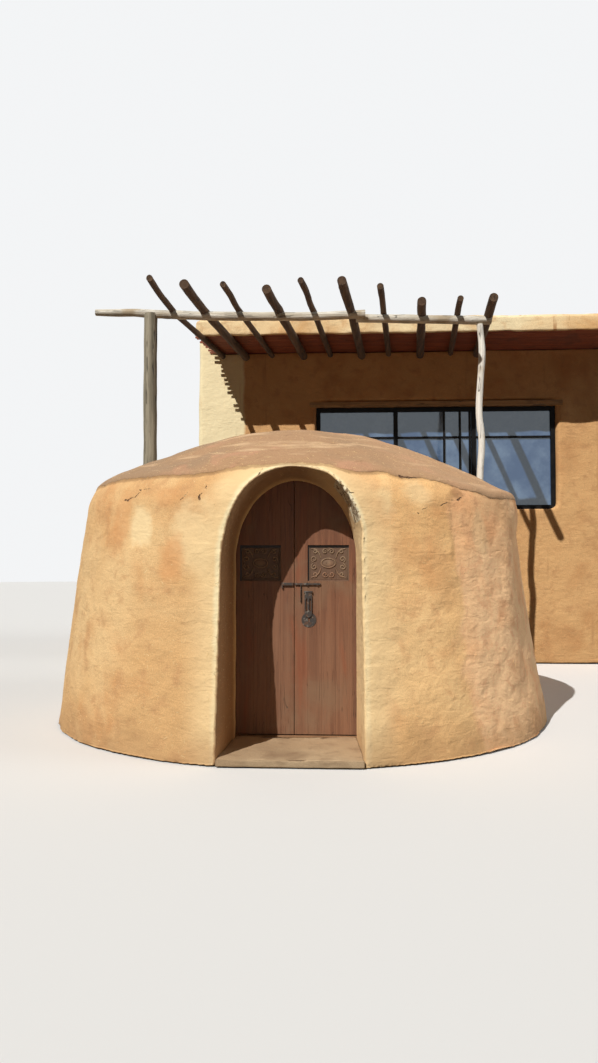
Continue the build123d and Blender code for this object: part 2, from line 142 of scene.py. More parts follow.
def cellsOut(place, scale):
    return nodeOut(place.tree, "ShaderNodeTexVoronoi", {"Vector": place, "Scale": scale}, "Distance")


def rangeOut(value, low, high, outLow=0.0, outHigh=1.0):
    inputs = {"Value": value, "From Min": low, "From Max": high, "To Min": outLow, "To Max": outHigh}
    return nodeOut(value.tree, "ShaderNodeMapRange", inputs, interpolation_type="SMOOTHSTEP")


def mixOut(factor, first, second):
    inputs = {0: factor, 6: paint(first), 7: paint(second)}
    return nodeOut(factor.tree, "ShaderNodeMix", inputs, 2, data_type="RGBA")


def layered(colour, *layers):
    for factor, tint in layers:
        colour = mixOut(factor, colour, tint)
    return colour


def partsOut(vector):
    return [Flow(part) for part in addNode(vector.tree, "ShaderNodeSeparateXYZ", {0: vector}).outputs]


def combined(*parts):
    tree = next(part.tree for part in parts if isinstance(part, Flow))
    return nodeOut(tree, "ShaderNodeCombineXYZ", dict(enumerate(parts)))


def paint(colour):
    # Three 0-255 values as they look become the four linear values that Blender uses.
    if not isinstance(colour, tuple) or len(colour) == 4:
        return colour
    shares = [value / 255 for value in colour]
    linear = [s / 12.92 if s <= 0.04045 else ((s + 0.055) / 1.055) ** 2.4 for s in shares]
    return (*linear, 1.0)


# Camera, lamps, floor and background

view = {
    "place": (0.378, -7.8, 1.41),
    "pitch": 2.32,  # degrees up
    "yaw": 3.0,  # degrees to the left
    "lens": 27.19,
    "sensor": 36.0,
}
studio = {
    # The way the light travels, its energy, its angle in degrees and its colour
    "suns": {
        "keySun": ((0.554, 1.0, -1.065), 3.8, 0.55, (1.0, 0.975, 0.94)),
        "sideFill": ((-1.0, 0.06, -0.45), 0.8, 30.0, (1.0, 0.98, 0.95)),
    },
    "fill": (0.015, 0.26),  # of the world, in front and behind
    "fillColour": (0.93, 0.96, 1.0, 1.0),
    "background": (0.90, 0.91, 0.92, 1.0),
    "floor": (0.80, 0.80, 0.79, 1.0),
    "floorBounce": (0.055, 0.043, 0.032, 1.0),  # what the floor throws back on the house
    "floorRadius": 60.0,
    "floorDrop": 0.004,
}


def makeCamera():
    data = bpy.data.cameras.new("houseCamera")
    data.lens = view["lens"]
    data.sensor_width = view["sensor"]
    data.sensor_fit = "AUTO"
    data.clip_end = 300.0
    camera = link(data, "houseCamera")
    camera.location = view["place"]
    camera.rotation_euler = (math.radians(90 + view["pitch"]), 0, math.radians(view["yaw"]))
    scene.camera = camera


def makeLamps():
    for name, (direction, energy, angle, colour) in studio["suns"].items():
        data = bpy.data.lights.new(name, "SUN")
        data.energy = energy
        data.angle = math.radians(angle)
        data.color = colour
        sun = link(data, name)
        sun.rotation_euler = Vector(direction).to_track_quat("-Z", "Y").to_euler()
        sun.location = -6 * Vector(direction)


def seenRay(tree):
    # 1 for the camera and for what shows in glass and iron
    rays = tree.nodes.new("ShaderNodeLightPath").outputs
    seen = join("MAXIMUM", Flow(rays["Is Camera Ray"]), Flow(rays["Is Glossy Ray"]))
    return join("MAXIMUM", seen, Flow(rays["Is Transmission Ray"]))


def makeWorld():
    world = bpy.data.worlds.new("paleStudio")
    scene.world = world
    world.use_nodes = True
    tree = world.node_tree
    tree.nodes.clear()
    # More light comes from behind than from the front, where the shade is deep.
    backward = partsOut(nodeOut(tree, "ShaderNodeTexCoord", {}, "Generated"))[1]
    strength = rangeOut(backward, 0.0, 0.6, *studio["fill"])
    fill = nodeOut(tree, "ShaderNodeBackground", {"Color": studio["fillColour"], "Strength": strength})
    shown = nodeOut(tree, "ShaderNodeBackground", {"Color": studio["background"]})
    both = nodeOut(tree, "ShaderNodeMixShader", {0: seenRay(tree), 1: fill, 2: shown})
    addNode(tree, "ShaderNodeOutputWorld", {"Surface": both})


def makeFloor():
    build = bmesh.new()
    bmesh.ops.create_circle(
        build, cap_ends=True, segments=96, radius=studio["floorRadius"],
        matrix=Matrix.Translation((0, 0, -studio["floorDrop"])),
    )
    mesh = bpy.data.meshes.new("studio_floor")
    build.to_mesh(mesh)
    build.free()
    material, place = newMaterial("studioFloor")
    shown = mixOut(seenRay(place.tree), studio["floorBounce"], studio["floor"])
    mesh.materials.append(finished(material, shown, {"Roughness": 0.95, "Specular IOR Level": 0.1}))
    link(mesh, "studio_floor")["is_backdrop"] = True


# Node groups: those that the materials share, and the trees that make geometry

socketKinds = {float: "NodeSocketFloat", int: "NodeSocketInt", tuple: "NodeSocketVector"}


def newTree(family, name, inputs, outputs):
    # An input has its default value, or the kind of its socket where there is none.
    tree = bpy.data.node_groups.new(name, family)
    for label, value in inputs.items():
        kind = value if isinstance(value, str) else socketKinds[type(value)]
        socket = tree.interface.new_socket(name=label, in_out="INPUT", socket_type=kind)
        if not isinstance(value, str):
            socket.default_value = value
    for label, kind in outputs.items():
        tree.interface.new_socket(name=label, in_out="OUTPUT", socket_type=kind)
    given = {socket.name: Flow(socket) for socket in tree.nodes.new("NodeGroupInput").outputs}
    return tree, given, tree.nodes.new("NodeGroupOutput").inputs


def newGroup(name, inputs, *labels):
    inputs = {"Vector": "NodeSocketVector", **inputs}
    return newTree("ShaderNodeTree", name, inputs, dict.fromkeys(labels, "NodeSocketFloat"))


def useGroup(group, **values):
    made = addNode(values["Vector"].tree, "ShaderNodeGroup", values, node_tree=group)
    return {socket.name: Flow(socket) for socket in made.outputs}


def makePatchGroup():
    group, given, result = newGroup(
        "patches", {"Scale": 1.0, "From": 0.45, "To": 0.6, "Detail": 3.0}, "Mask"
    )
    cloud = noiseOut(given["Vector"], given["Scale"], given["Detail"], 0.55, 0.4)
    feed(result["Mask"], rangeOut(cloud, given["From"], given["To"]))
    return group


def makeReliefGroup():
    group, given, result = newGroup("handPlasterRelief", {}, "Height", "Grit", "Flecks")
    place = given["Vector"]
    swells = noiseOut(place, 5.0, 3.0, 0.5, 0.6)
    lumps = noiseOut(place, 22.0, 4.0, 0.6, 0.3)
    grit = noiseOut(place, 130.0, 3.0, 0.65)
    strokes = noiseOut(place * (6.0, 6.0, 17.0), 1.0, 3.0, 0.55, 0.8)
    pits = rangeOut(cellsOut(place, 48.0), 0.05, 0.22, 1.0, 0.0)
    pits = pits * rangeOut(noiseOut(place, 9.0, 2.0), 0.56, 0.68)
    flecks = []
    for turn, stretch in (((0.0, 0.0, 0.5), (30, 30, 210)), ((0.6, 0.3, 0.0), (200, 34, 60))):
        turned = nodeOut(
            group, "ShaderNodeMapping", {"Vector": place, "Rotation": turn, "Scale": stretch}
        )
        flecks.append(rangeOut(noiseOut(turned, 1.0, 1.0, 0.5, 0.5), 0.70, 0.76))
    feed(result["Height"], swells + lumps * 0.42 + grit * 0.13 + strokes * 0.55 - pits * 0.10)
    feed(result["Grit"], grit)
    feed(result["Flecks"], join("MAXIMUM", *flecks))
    return group


def makeGrainGroup():
    group, given, result = newGroup(
        "woodGrain", {"Stretch": (1.0, 1.0, 1.0), "Split": 0.012}, "Grain", "Streak", "Cracks"
    )
    place = given["Vector"] * given["Stretch"]
    offLine = abs(noiseOut(place, 0.55, 2.0, 0.45, 0.9) - 0.5)
    line = rangeOut(offLine, 0.0, given["Split"], 1.0, 0.0)
    broken = rangeOut(noiseOut(given["Vector"], 5.0, 2.0), 0.47, 0.58)
    feed(result["Grain"], noiseOut(place, 3.4, 5.0, 0.62, 0.6))
    feed(result["Streak"], noiseOut(place, 0.75, 3.0, 0.5, 0.6))
    feed(result["Cracks"], line * broken)
    return group


def makeCrackGroup():
    # A crooked crack along the line between two points
    ends = {"Start": (0.0, 0.0, 0.0), "End": (0.0, 0.0, 1.0)}
    group, given, result = newGroup("crackLine", {**ends, "Width": 0.006, "Before": 0.0}, "Mask")
    wobble = noiseOut(given["Vector"], 14.0, 3.0, 0.6, output=1)
    along = given["End"] - given["Start"]
    reach = given["Vector"] + (wobble - 0.5) * 0.07 - given["Start"]
    share = join(
        "DIVIDE", join("DOT_PRODUCT", reach, along), join("DOT_PRODUCT", along, along), clamp=True
    )
    thin = given["Width"] * (1.25 - share)
    line = rangeOut(join("LENGTH", reach - along * share) / thin, 0.35, 1.0, 1.0, 0.0)
    feed(result["Mask"], join("MAXIMUM", line, given["Before"]))
    return group


patchGroup = makePatchGroup()
reliefGroup = makeReliefGroup()
grainGroup = makeGrainGroup()
crackGroup = makeCrackGroup()


def newMaterial(name):
    material = bpy.data.materials.new(name)
    material.use_nodes = True
    return material, nodeOut(material.node_tree, "ShaderNodeTexCoord", {}, "Object")


def finished(material, colour, inputs, height=None, distance=0.0):
    tree = material.node_tree
    shader = tree.nodes["Principled BSDF"]
    if height:
        bump = {"Strength": 1.0, "Distance": distance, "Height": height}
        feed(shader.inputs["Normal"], nodeOut(tree, "ShaderNodeBump", bump))
    for name, value in {"Base Color": colour, **inputs}.items():
        feed(shader.inputs[name], value)
    return material


def attributeOut(place, name):
    return nodeOut(place.tree, "ShaderNodeAttribute", {}, "Fac", attribute_name=name)


def mask(place, scale, low, high, detail=3.0):
    return useGroup(patchGroup, Vector=place, Scale=scale, From=low, To=high, Detail=detail)["Mask"]


# Adobe plaster of the domed room, with the mud coat of its roof above the crease line

plaster = {"relief": 0.012, "earthRelief": 0.008, "look": {"Roughness": 0.9}}
skinRadius = 2.05  # where the wall's skin is unrolled
skinDegree = skinRadius * math.pi / 180

# Cracks and pale dusty patches by the angle off the front, in degrees, and the height
domeCracks = [
    ((-7.4, 1.965), (-7.0, 2.06), 0.016),
    ((-7.0, 2.06), (-6.2, 2.125), 0.008),
    ((-19.6, 1.895), (-17.6, 2.03), 0.010),
    ((-41.9, 1.915), (-38.2, 1.936), 0.009),
    ((-38.2, 1.936), (-35.4, 1.985), 0.005),
    ((-37.0, 1.99), (-33.3, 1.992), 0.006),
    ((34.3, 1.850), (36.6, 1.888), 0.008),
    ((36.6, 1.888), (39.4, 1.894), 0.007),
    ((39.4, 1.894), (42.6, 1.965), 0.007),
    ((25.0, 2.064), (29.2, 2.058), 0.009),
    ((12.8, 1.934), (14.5, 1.936), 0.006),
    ((27.9, 1.79), (31.2, 1.852), 0.005),
    ((-24.0, 1.89), (-22.4, 1.955), 0.004),
]
# Place, reach, strength and kind of each patch
domeDust = [
    ((-34.6, 1.71), (4.2, 0.17), 1.0, "dust"),
    ((-20.0, 1.66), (7.5, 0.30), 0.7, "dust"),
    ((-12.0, 1.95), (6.0, 0.11), 0.45, "dust"),
    ((20.5, 1.86), (3.2, 0.16), 0.5, "dust"),
    ((28.0, 1.93), (4.2, 0.13), 0.6, "dust"),
    ((46.0, 1.66), (3.0, 0.22), 0.4, "dust"),
    ((-43.0, 1.72), (4.5, 0.28), 0.6, "clay"),
    ((-25.5, 1.44), (3.6, 0.24), 0.75, "clay"),
    ((-28.5, 1.93), (6.0, 0.10), 0.5, "clay"),
    ((17.8, 1.84), (4.0, 0.10), 0.5, "clay"),
    ((24.0, 1.50), (6.0, 0.16), 0.4, "clay"),
    ((33.0, 1.30), (5.0, 0.28), 0.35, "clay"),
    ((39.3, 1.955), (2.6, 0.05), 0.8, "mud"),
]
domeTints = {"dust": (250, 222, 170), "clay": (222, 160, 102), "mud": (168, 120, 76)}
fleckTint = (246, 222, 168)


def newPlaster(name, body, light, deep, stain):
    material, place = newMaterial(name)
    relief = useGroup(reliefGroup, Vector=place)
    colour = layered(
        body,
        (mask(place, 0.9, 0.34, 0.68), light),
        (mask(place, 1.7, 0.46, 0.76), deep),
        (mask(place, 7.0, 0.50, 0.72, 5.0) * 0.55, stain),
    )
    return material, place, relief, colour * rangeOut(relief["Grit"], 0.30, 0.70, 0.84, 1.10)


def domeMaterial():
    material, place, relief, wall = newPlaster(
        "adobePlaster", (223, 177, 120), (238, 199, 143), (214, 157, 101), (200, 150, 102)
    )
    x, y, z = partsOut(place)
    around = join("ARCTAN2", x, y * -1.0) * skinRadius
    skin = combined(around, z)

    # Painted light: the wall brightens towards the right, standing in for light the lamps don't give that
    # side. Its flank is pinker, and dust lightens the wall here and there.
    flank = around + noiseOut(place, 2.6) * 0.5
    wall = wall * rangeOut(flank, 0.55, 1.40, 1.0, 1.32)
    wall = wall * (rangeOut(flank, 1.54, 1.64) * (0.10, 0.07, 0.22) + 1.0)
    cloudy = noiseOut(place, 3.4, 4.0, 0.6) * 2.2
    for (turn, height), (wideTurn, tall), strength, tint in domeDust:
        off = skin - (turn * skinDegree, height, 0.0)
        off = off * (1 / (wideTurn * skinDegree), 1 / tall, 0.0)
        spread = rangeOut(join("LENGTH", off) + cloudy, 1.55, 2.25, 0.85 * strength, 0.0)
        wall = mixOut(spread, wall, domeTints[tint])
    arch = attributeOut(place, "archDistance")
    dusty = rangeOut(arch + noiseOut(place, 3.0) * 0.12, 0.10, 0.40, 0.85, 0.0)
    outside = attributeOut(place, "outerSkin")
    rim = rangeOut(arch + noiseOut(place, 11.0, 3.0) * 0.035, 0.045, 0.085, 0.95, 0.0) * outside
    rim = rim * rangeOut(z - x * 0.9, 0.9, 1.5, 0.45, 1.0)
    # Broken plaster at the edge, painted with light and shade: noise spots it pale grey, for bits that catch
    # the sun, and dark brown, for hollows in shade.
    bits = noiseOut(place, 30.0, 3.0, 0.6)
    chipped = rangeOut(attributeOut(place, "brokenEdge") + bits * 0.5, 0.76, 0.92, 0.0, 0.85)
    chipLitAndShaded = mixOut(rangeOut(bits, 0.40, 0.50), (118, 88, 56), (240, 228, 196))
    # Painted shade: the left and inner part of the reveal, which the sun doesn't reach, is darkened to
    # brown.
    deep = rangeOut(x, 0.05, 0.36, 1.0, 0.0) * (1.0 - outside)
    deep = deep * rangeOut(y, -1.60, -1.40, 1.0, 0.0)
    wall = layered(
        wall, (dusty, (246, 214, 160)), (rim, (252, 233, 186)), (chipped, chipLitAndShaded),
        (deep * 0.85, (136, 94, 60)),
    )

    # Mud coat of the roof: browner, with grey and pink patches and pale streaks along it
    coat = layered(
        (180, 141, 104),
        (mask(place, 1.1, 0.42, 0.60), (166, 134, 102)),
        (mask(place, 2.1, 0.54, 0.70), (194, 146, 112)),
        (mask(place * (1.0, 1.0, 9.0), 1.7, 0.55, 0.67, 5.0), (212, 176, 136)),
        (mask(place, 9.0, 0.58, 0.74, 5.0), (162, 124, 88)),
        (rangeOut(flank, 0.9, 1.7, 0.0, 0.5), (206, 163, 122)),
    )
    coat = coat * rangeOut(relief["Grit"], 0.30, 0.70, 0.82, 1.10)
    ragged = noiseOut(place, 16.0, 4.0, 0.6) - 0.5
    edge = attributeOut(place, "creaseDistance") + ragged * 0.035
    above = rangeOut(edge, -0.004, 0.006)
    # Painted shade: a dark line just below the coat's edge, where the lapping coat shades the wall, weaker
    # towards the right.
    line = rangeOut(abs(edge + 0.008), 0.0, 0.018, 0.62, 0.0)
    line = line * rangeOut(around, 0.5, 1.1, 1.0, 0.2)

    cracks = 0.0
    for start, end, width in domeCracks:
        start, end = ((turn * skinDegree, height, 0.0) for turn, height in (start, end))
        cracks = useGroup(
            crackGroup, Vector=skin, Start=start, End=end, Width=width, Before=cracks
        )["Mask"]
    cracks = cracks * outside
    splashed = rangeOut(z + noiseOut(place, 4.0, 4.0) * 0.5, 0.22, 0.62, 0.55, 0.0)
    colour = layered(
        wall, (above, coat), (line, (150, 112, 74)), (cracks * 0.9, (92, 58, 34)),
        (relief["Flecks"] * 0.5, fleckTint), (splashed, (178, 136, 92)),
    )
    ledge = rangeOut(around + noiseOut(place, 5.0, 3.0) * 0.12, 1.350, 1.410, 0.55, 0.0)
    ledgeHeight = rangeOut(z, 1.25, 1.50) * rangeOut(z, 1.86, 1.98, 1.0, 0.0)
    tall = relief["Height"] + above * 0.45 + ledge * ledgeHeight - cracks * 1.3
    tall = tall + relief["Flecks"] * 0.06
    return finished(material, colour, plaster["look"], tall, plaster["relief"])


def houseWallMaterial():
    material, place, relief, wall = newPlaster(
        "wallPlaster", (214, 165, 110), (224, 177, 120), (202, 149, 96), (192, 142, 94)
    )
    x, y = partsOut(place)[:2]
    washed = rangeOut(x + noiseOut(place, 2.4, 3.0) * 0.08, -1.02, -0.97, 0.95, 0.0)
    washed = washed * rangeOut(y + noiseOut(place, 1.6, 4.0) * 2.0, 5.4, 6.6, 1.0, 0.0)
    runs = mask(place * (7.0, 7.0, 0.6), 1.0, 0.58, 0.78)
    wall = layered(
        wall, (washed, (255, 239, 194)), (runs, (188, 140, 94)), (relief["Flecks"] * 0.4, fleckTint)
    )
    return finished(material, wall, plaster["look"], relief["Height"], plaster["relief"])


def slabMaterial():
    material, place, relief, colour = newPlaster(
        "fasciaPlaster", (250, 219, 168), (254, 234, 189), (232, 184, 124), (214, 164, 110)
    )
    runs = mask(place * (5.0, 5.0, 1.2), 1.4, 0.60, 0.76)
    onTop = rangeOut(partsOut(place)[2] + noiseOut(place, 9.0) * 0.02, 4.722, 4.736)
    earth = mixOut(mask(place, 2.3, 0.32, 0.72, 5.0), (190, 154, 112), (204, 170, 126))
    colour = layered(colour, (runs, (190, 140, 92)), (onTop, earth))
    return finished(material, colour, plaster["look"], relief["Height"], plaster["relief"])


def earthMaterial(name, body, light, deep):
    material, _, relief, colour = newPlaster(name, body, light, deep, deep)
    return finished(material, colour, plaster["look"], relief["Height"], plaster["earthRelief"])


# Woods: the long axis of a piece gives the direction of its grain.

grainAlong = {"x": (1.2, 34.0, 34.0), "y": (34.0, 1.2, 34.0), "z": (34.0, 34.0, 1.2)}
# Material, grain, width of the cracks, depth of the relief and roughness
woods = {
    "straw": ("strawChaff", "x", 0.012, 0.0004, 0.85),
    "beam": ("peeledPoleWood", "x", 0.022, 0.008, 0.72),
    "rightPost": ("peeledPostWood", "z", 0.022, 0.006, 0.72),
    "leftPost": ("greyPostWood", "z", 0.03, 0.008, 0.72),
    "rafter": ("rafterBark", "y", 0.02, 0.006, 0.9),
    "cutEnd": ("cutEndWood", "y", 0.03, 0.003, 0.85),
    "boards": ("soffitBoards", "x", 0.01, 0.003, 0.72),
    "lintel": ("lintelWood", "x", 0.02, 0.004, 0.72),
    "doorFrame": ("doorFrameWood", "z", 0.01, 0.002, 0.72),
}
# Body, light, dark and worn colours
woodTints = {
    "straw": ((232, 200, 140), (244, 220, 168), (200, 160, 104), (236, 208, 150)),
    "beam": ((206, 196, 176), (232, 226, 212), (150, 136, 114), (176, 158, 130)),
    "rightPost": ((234, 228, 214), (248, 244, 234), (184, 172, 152), (206, 192, 168)),
    "leftPost": ((124, 116, 96), (164, 154, 132), (76, 66, 54), (104, 92, 74)),
    "rafter": ((70, 50, 34), (98, 74, 52), (36, 26, 20), (82, 60, 42)),
    "cutEnd": ((152, 144, 118), (178, 170, 144), (104, 92, 74), (128, 116, 92)),
    "boards": ((126, 62, 38), (154, 82, 52), (72, 34, 22), (104, 54, 34)),
    "lintel": ((156, 116, 72), (184, 142, 94), (96, 68, 42), (138, 102, 66)),
    "doorFrame": ((98, 56, 38), (122, 74, 50), (58, 32, 22), (92, 60, 44)),
    "door": ((112, 69, 44), (130, 84, 56), (90, 53, 34), (124, 93, 68)),
    "carved": ((128, 104, 80), (146, 122, 97), (98, 72, 54), (140, 104, 80)),
}


def newWood(look, name, along, split, wornFrom=0.52, wornTo=0.70):
    material, place = newMaterial(name)
    grain = useGroup(grainGroup, Vector=place, Stretch=grainAlong[along], Split=split)
    body, light, dark, worn = woodTints[look]
    colour = layered(
        body,
        (rangeOut(grain["Streak"], 0.36, 0.64), light),
        (rangeOut(grain["Grain"], 0.52, 0.70, 0.0, 0.75), dark),
        (mask(place, 2.6, wornFrom, wornTo, 4.0), worn),
        (grain["Cracks"] * 0.85, (24, 16, 11)),
    )
    tall = grain["Grain"] * 0.5 + grain["Streak"] - grain["Cracks"] * 1.2
    return material, colour, tall, place, grain["Streak"]


def plainWood(look):
    name, along, split, depth, roughness = woods[look]
    material, colour, tall = newWood(look, name, along, split)[:3]
    return finished(material, colour, {"Roughness": roughness}, tall, depth)


def doorMaterial():
    material, colour, tall, place, streak = newWood("door", "doorWood", "z", 0.004, 0.5, 0.75)
    drift = partsOut(place)[2] + noiseOut(place, 2.0, 3.0) * 0.9
    greyed = rangeOut(drift, 1.15, 1.9, 0.55, 0.0) * streak
    redder = mask(place * (3.0, 1.0, 0.5), 2.1, 0.55, 0.7) * 0.5
    colour = layered(colour, (greyed, (138, 108, 84)), (redder, (140, 74, 42)))
    return finished(material, colour, {"Roughness": 0.66}, tall, 0.0018)


def carvedMaterial():
    material, colour, tall, place = newWood("carved", "carvedWood", "z", 0.004, 0.5, 0.72)[:4]
    # The sunk ground between the scrolls is darker, and painted shadow darkens the panel's left and top
    # edges, where the recess casts its shadow.
    x, y, z = partsOut(place)
    sunk = rangeOut(y, -1.4145, -1.4095, 0.0, 0.8)
    fromCentre = x - rangeOut(x, 0.0, 0.01, -0.2645, 0.2765)
    leftShadow = rangeOut(fromCentre, -0.1540, -0.1490, 0.93, 0.0)
    topShadow = rangeOut(z + noiseOut(place, 26.0, 1.0) * 0.012, 1.5430, 1.5480, 0.0, 0.93)
    edges = join("MAXIMUM", leftShadow, topShadow)
    colour = layered(colour, (sunk, (92, 66, 49)), (edges, (16, 11, 9)))
    return finished(material, colour, {"Roughness": 0.72}, tall, 0.0014)


def ironMaterial():
    material, place = newMaterial("wroughtIron")
    cloud = noiseOut(place, 34.0, 5.0, 0.65)
    rusty = rangeOut(cloud, 0.50, 0.66)
    worn = rangeOut(noiseOut(place, 40.0, 2.0), 0.54, 0.72)
    colour = layered((66, 60, 56), (worn, (132, 124, 114)), (rusty, (98, 72, 56)))
    look = {
        "Roughness": rangeOut(cloud, 0.35, 0.7, 0.42, 0.85),
        "Metallic": rangeOut(rusty, 0.0, 1.0, 0.55, 0.10),
    }
    return finished(material, colour, look, noiseOut(place, 190.0, 4.0, 0.6), 0.0012)


def barMaterial():
    material, place = newMaterial("darkBars")
    cloud = noiseOut(place, 12.0, 4.0, 0.6)
    colour = mixOut(rangeOut(cloud, 0.4, 0.65), (13, 13, 14), (28, 26, 25))
    return finished(material, colour, {"Roughness": 0.8, "Specular IOR Level": 0.15}, cloud, 0.001)


def glassMaterial():
    material, place = newMaterial("windowGlass")
    dusty = noiseOut(place, 1.8, 4.0, 0.6)
    look = {
        "Roughness": rangeOut(dusty, 0.4, 0.75, 0.04, 0.16),
        "IOR": 1.85,
        "Specular Tint": (0.78, 0.90, 1.0, 1.0),
        "Coat Weight": 0.8,
        "Coat Roughness": 0.05,
        "Transmission Weight": 0.15,
    }
    # Painted reflection: the panes' blue base colour, lighter in patches, stands in for reflected sky.
    return finished(material, mixOut(rangeOut(dusty, 0.4, 0.7), (58, 88, 130), (112, 138, 168)), look)


print("stage: building the materials")
materials = {
    "dome": domeMaterial(),
    "wall": houseWallMaterial(),
    "slab": slabMaterial(),
    "floor": earthMaterial("earthFloor", (150, 112, 80), (172, 132, 96), (128, 92, 64)),
    "step": earthMaterial("stepStone", (178, 150, 116), (200, 174, 138), (140, 112, 84)),
    **{look: plainWood(look) for look in woods},
    "door": doorMaterial(),
    "carved": carvedMaterial(),
    "iron": ironMaterial(),
    "bars": barMaterial(),
    "glass": glassMaterial(),
}


# Mesh helpers

def link(data, name):
    made = bpy.data.objects.new(name, data)
    scene.collection.objects.link(made)
    return made


def give(piece, body, slot, *replaced):
    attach(piece, body)
    if replaced:
        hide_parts(*replaced)


def dress(piece, *looks):
    piece.data.materials.clear()
    for look in looks:
        piece.data.materials.append(materials[look])


def evaluated(piece):
    graph = bpy.context.evaluated_depsgraph_get()
    graph.update()
    return bpy.data.meshes.new_from_object(piece.evaluated_get(graph))


def applyModifiers(piece):
    mesh = evaluated(piece)
    mesh.name = piece.name
    old = piece.data
    piece.modifiers.clear()
    piece.data = mesh
    if old.users == 0:
        bpy.data.meshes.remove(old)
    return piece


def pieceFrom(build, name):
    bmesh.ops.recalc_face_normals(build, faces=build.faces)
    mesh = bpy.data.meshes.new(name)
    build.to_mesh(mesh)
    build.free()
    return link(mesh, name)


def smoothShade(mesh):
    mesh.polygons.foreach_set("use_smooth", [True] * len(mesh.polygons))


def copiedNodes(*nodeNames):
    build = bmesh.new()
    for name in nodeNames:
        build.from_mesh(cadNodes[name].data)
    bmesh.ops.remove_doubles(build, verts=build.verts, dist=0.00002)
    return build


def addBlock(build, low, high, edge=0.0, segments=2):
    low = Vector(low)
    high = Vector(high)
    made = bmesh.ops.create_cube(build, size=1.0)["verts"]
    bmesh.ops.scale(build, vec=high - low, verts=made)
    bmesh.ops.translate(build, vec=(low + high) / 2, verts=made)
    if edge > 0:
        edges = list({e for v in made for e in v.link_edges})
        bmesh.ops.bevel(build, geom=edges, offset=edge, segments=segments, profile=0.6, affect="EDGES")


def splitBlock(node, name, edge, levels):
    # The box of a solid with rounded edges, cut finely enough to be worn
    build = bmesh.new()
    addBlock(build, *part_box(node), edge, 3)
    piece = pieceFrom(build, name)
    cuts = piece.modifiers.new("cuts", "SUBSURF")
    cuts.subdivision_type = "SIMPLE"
    cuts.levels = levels
    cuts.render_levels = levels
    return applyModifiers(piece)


def pointsOf(mesh):
    values = np.zeros(len(mesh.vertices) * 3)
    mesh.vertices.foreach_get("co", values)
    return values.reshape(-1, 3)


def shapeOf(mesh):
    # Points and normals
    values = np.zeros(len(mesh.vertices) * 3, np.float32)
    mesh.vertex_normals.foreach_get("vector", values)
    return pointsOf(mesh), values.reshape(-1, 3).astype(float)


def writePoints(mesh, points):
    mesh.vertices.foreach_set("co", points.ravel())
    mesh.update()


def swell(points, scale, seed):
    # Smooth noise between -1 and 1 at each point
    shift = Vector((seed * 3.7, seed * 1.9, seed * 5.3))
    return np.array([noise.noise(Vector(point) * scale + shift) for point in points])


def writeAttribute(mesh, name, values):
    attribute = mesh.attributes.new(name, "FLOAT", "POINT")
    attribute.data.foreach_set("value", np.asarray(values, np.float32))


def keepInBox(points, inset=0.001):
    return np.clip(points, boxLow + inset, boxHigh - inset)


def remeshed(build, name, voxel, rounds):
    piece = pieceFrom(build, name)
    remesh = piece.modifiers.new("voxels", "REMESH")
    remesh.mode = "VOXEL"
    remesh.voxel_size = voxel
    soften = piece.modifiers.new("soften", "SMOOTH")
    soften.factor = 0.5
    soften.iterations = rounds
    applyModifiers(piece)
    smoothShade(piece.data)
    return piece


def softStep(values, low, high):
    share = np.clip((values - low) / (high - low), 0, 1)
    return share * share * (3 - 2 * share)


def hump(values, start, full, end, gone):
    return softStep(values, start, full) * (1 - softStep(values, end, gone))


def keepSide(mesh, line, side, close):
    # Keeps what lies in front of (-1) or behind (1) an upright plane
    build = bmesh.new()
    build.from_mesh(mesh)
    parts = build.verts[:] + build.edges[:] + build.faces[:]
    bmesh.ops.bisect_plane(
        build, geom=parts, dist=0.00001, plane_co=(0, line, 0), plane_no=(0, -side, 0), clear_outer=True
    )
    if close:
        rim = [edge for edge in build.edges if edge.is_boundary]
        bmesh.ops.holes_fill(build, edges=rim, sides=0)
        bmesh.ops.recalc_face_normals(build, faces=build.faces)
    build.to_mesh(mesh)
    build.free()


def cutShell(build, name, sizes, side):
    # The front (-1) or back (1) of a piece, with a margin past the line where it is cut
    piece = remeshed(build, name, sizes["frontVoxel" if side < 0 else "backVoxel"], 2)
    keepSide(piece.data, sizes["cutLine"] - side * sizes["overlap"], side, False)
    return piece


def closeShell(piece, sizes, side, look):
    keepSide(piece.data, sizes["cutLine"], side, True)
    smoothShade(piece.data)
    dress(piece, look)


# Domed room: one hand-plastered shell, with the roof's coat lapping over the wall

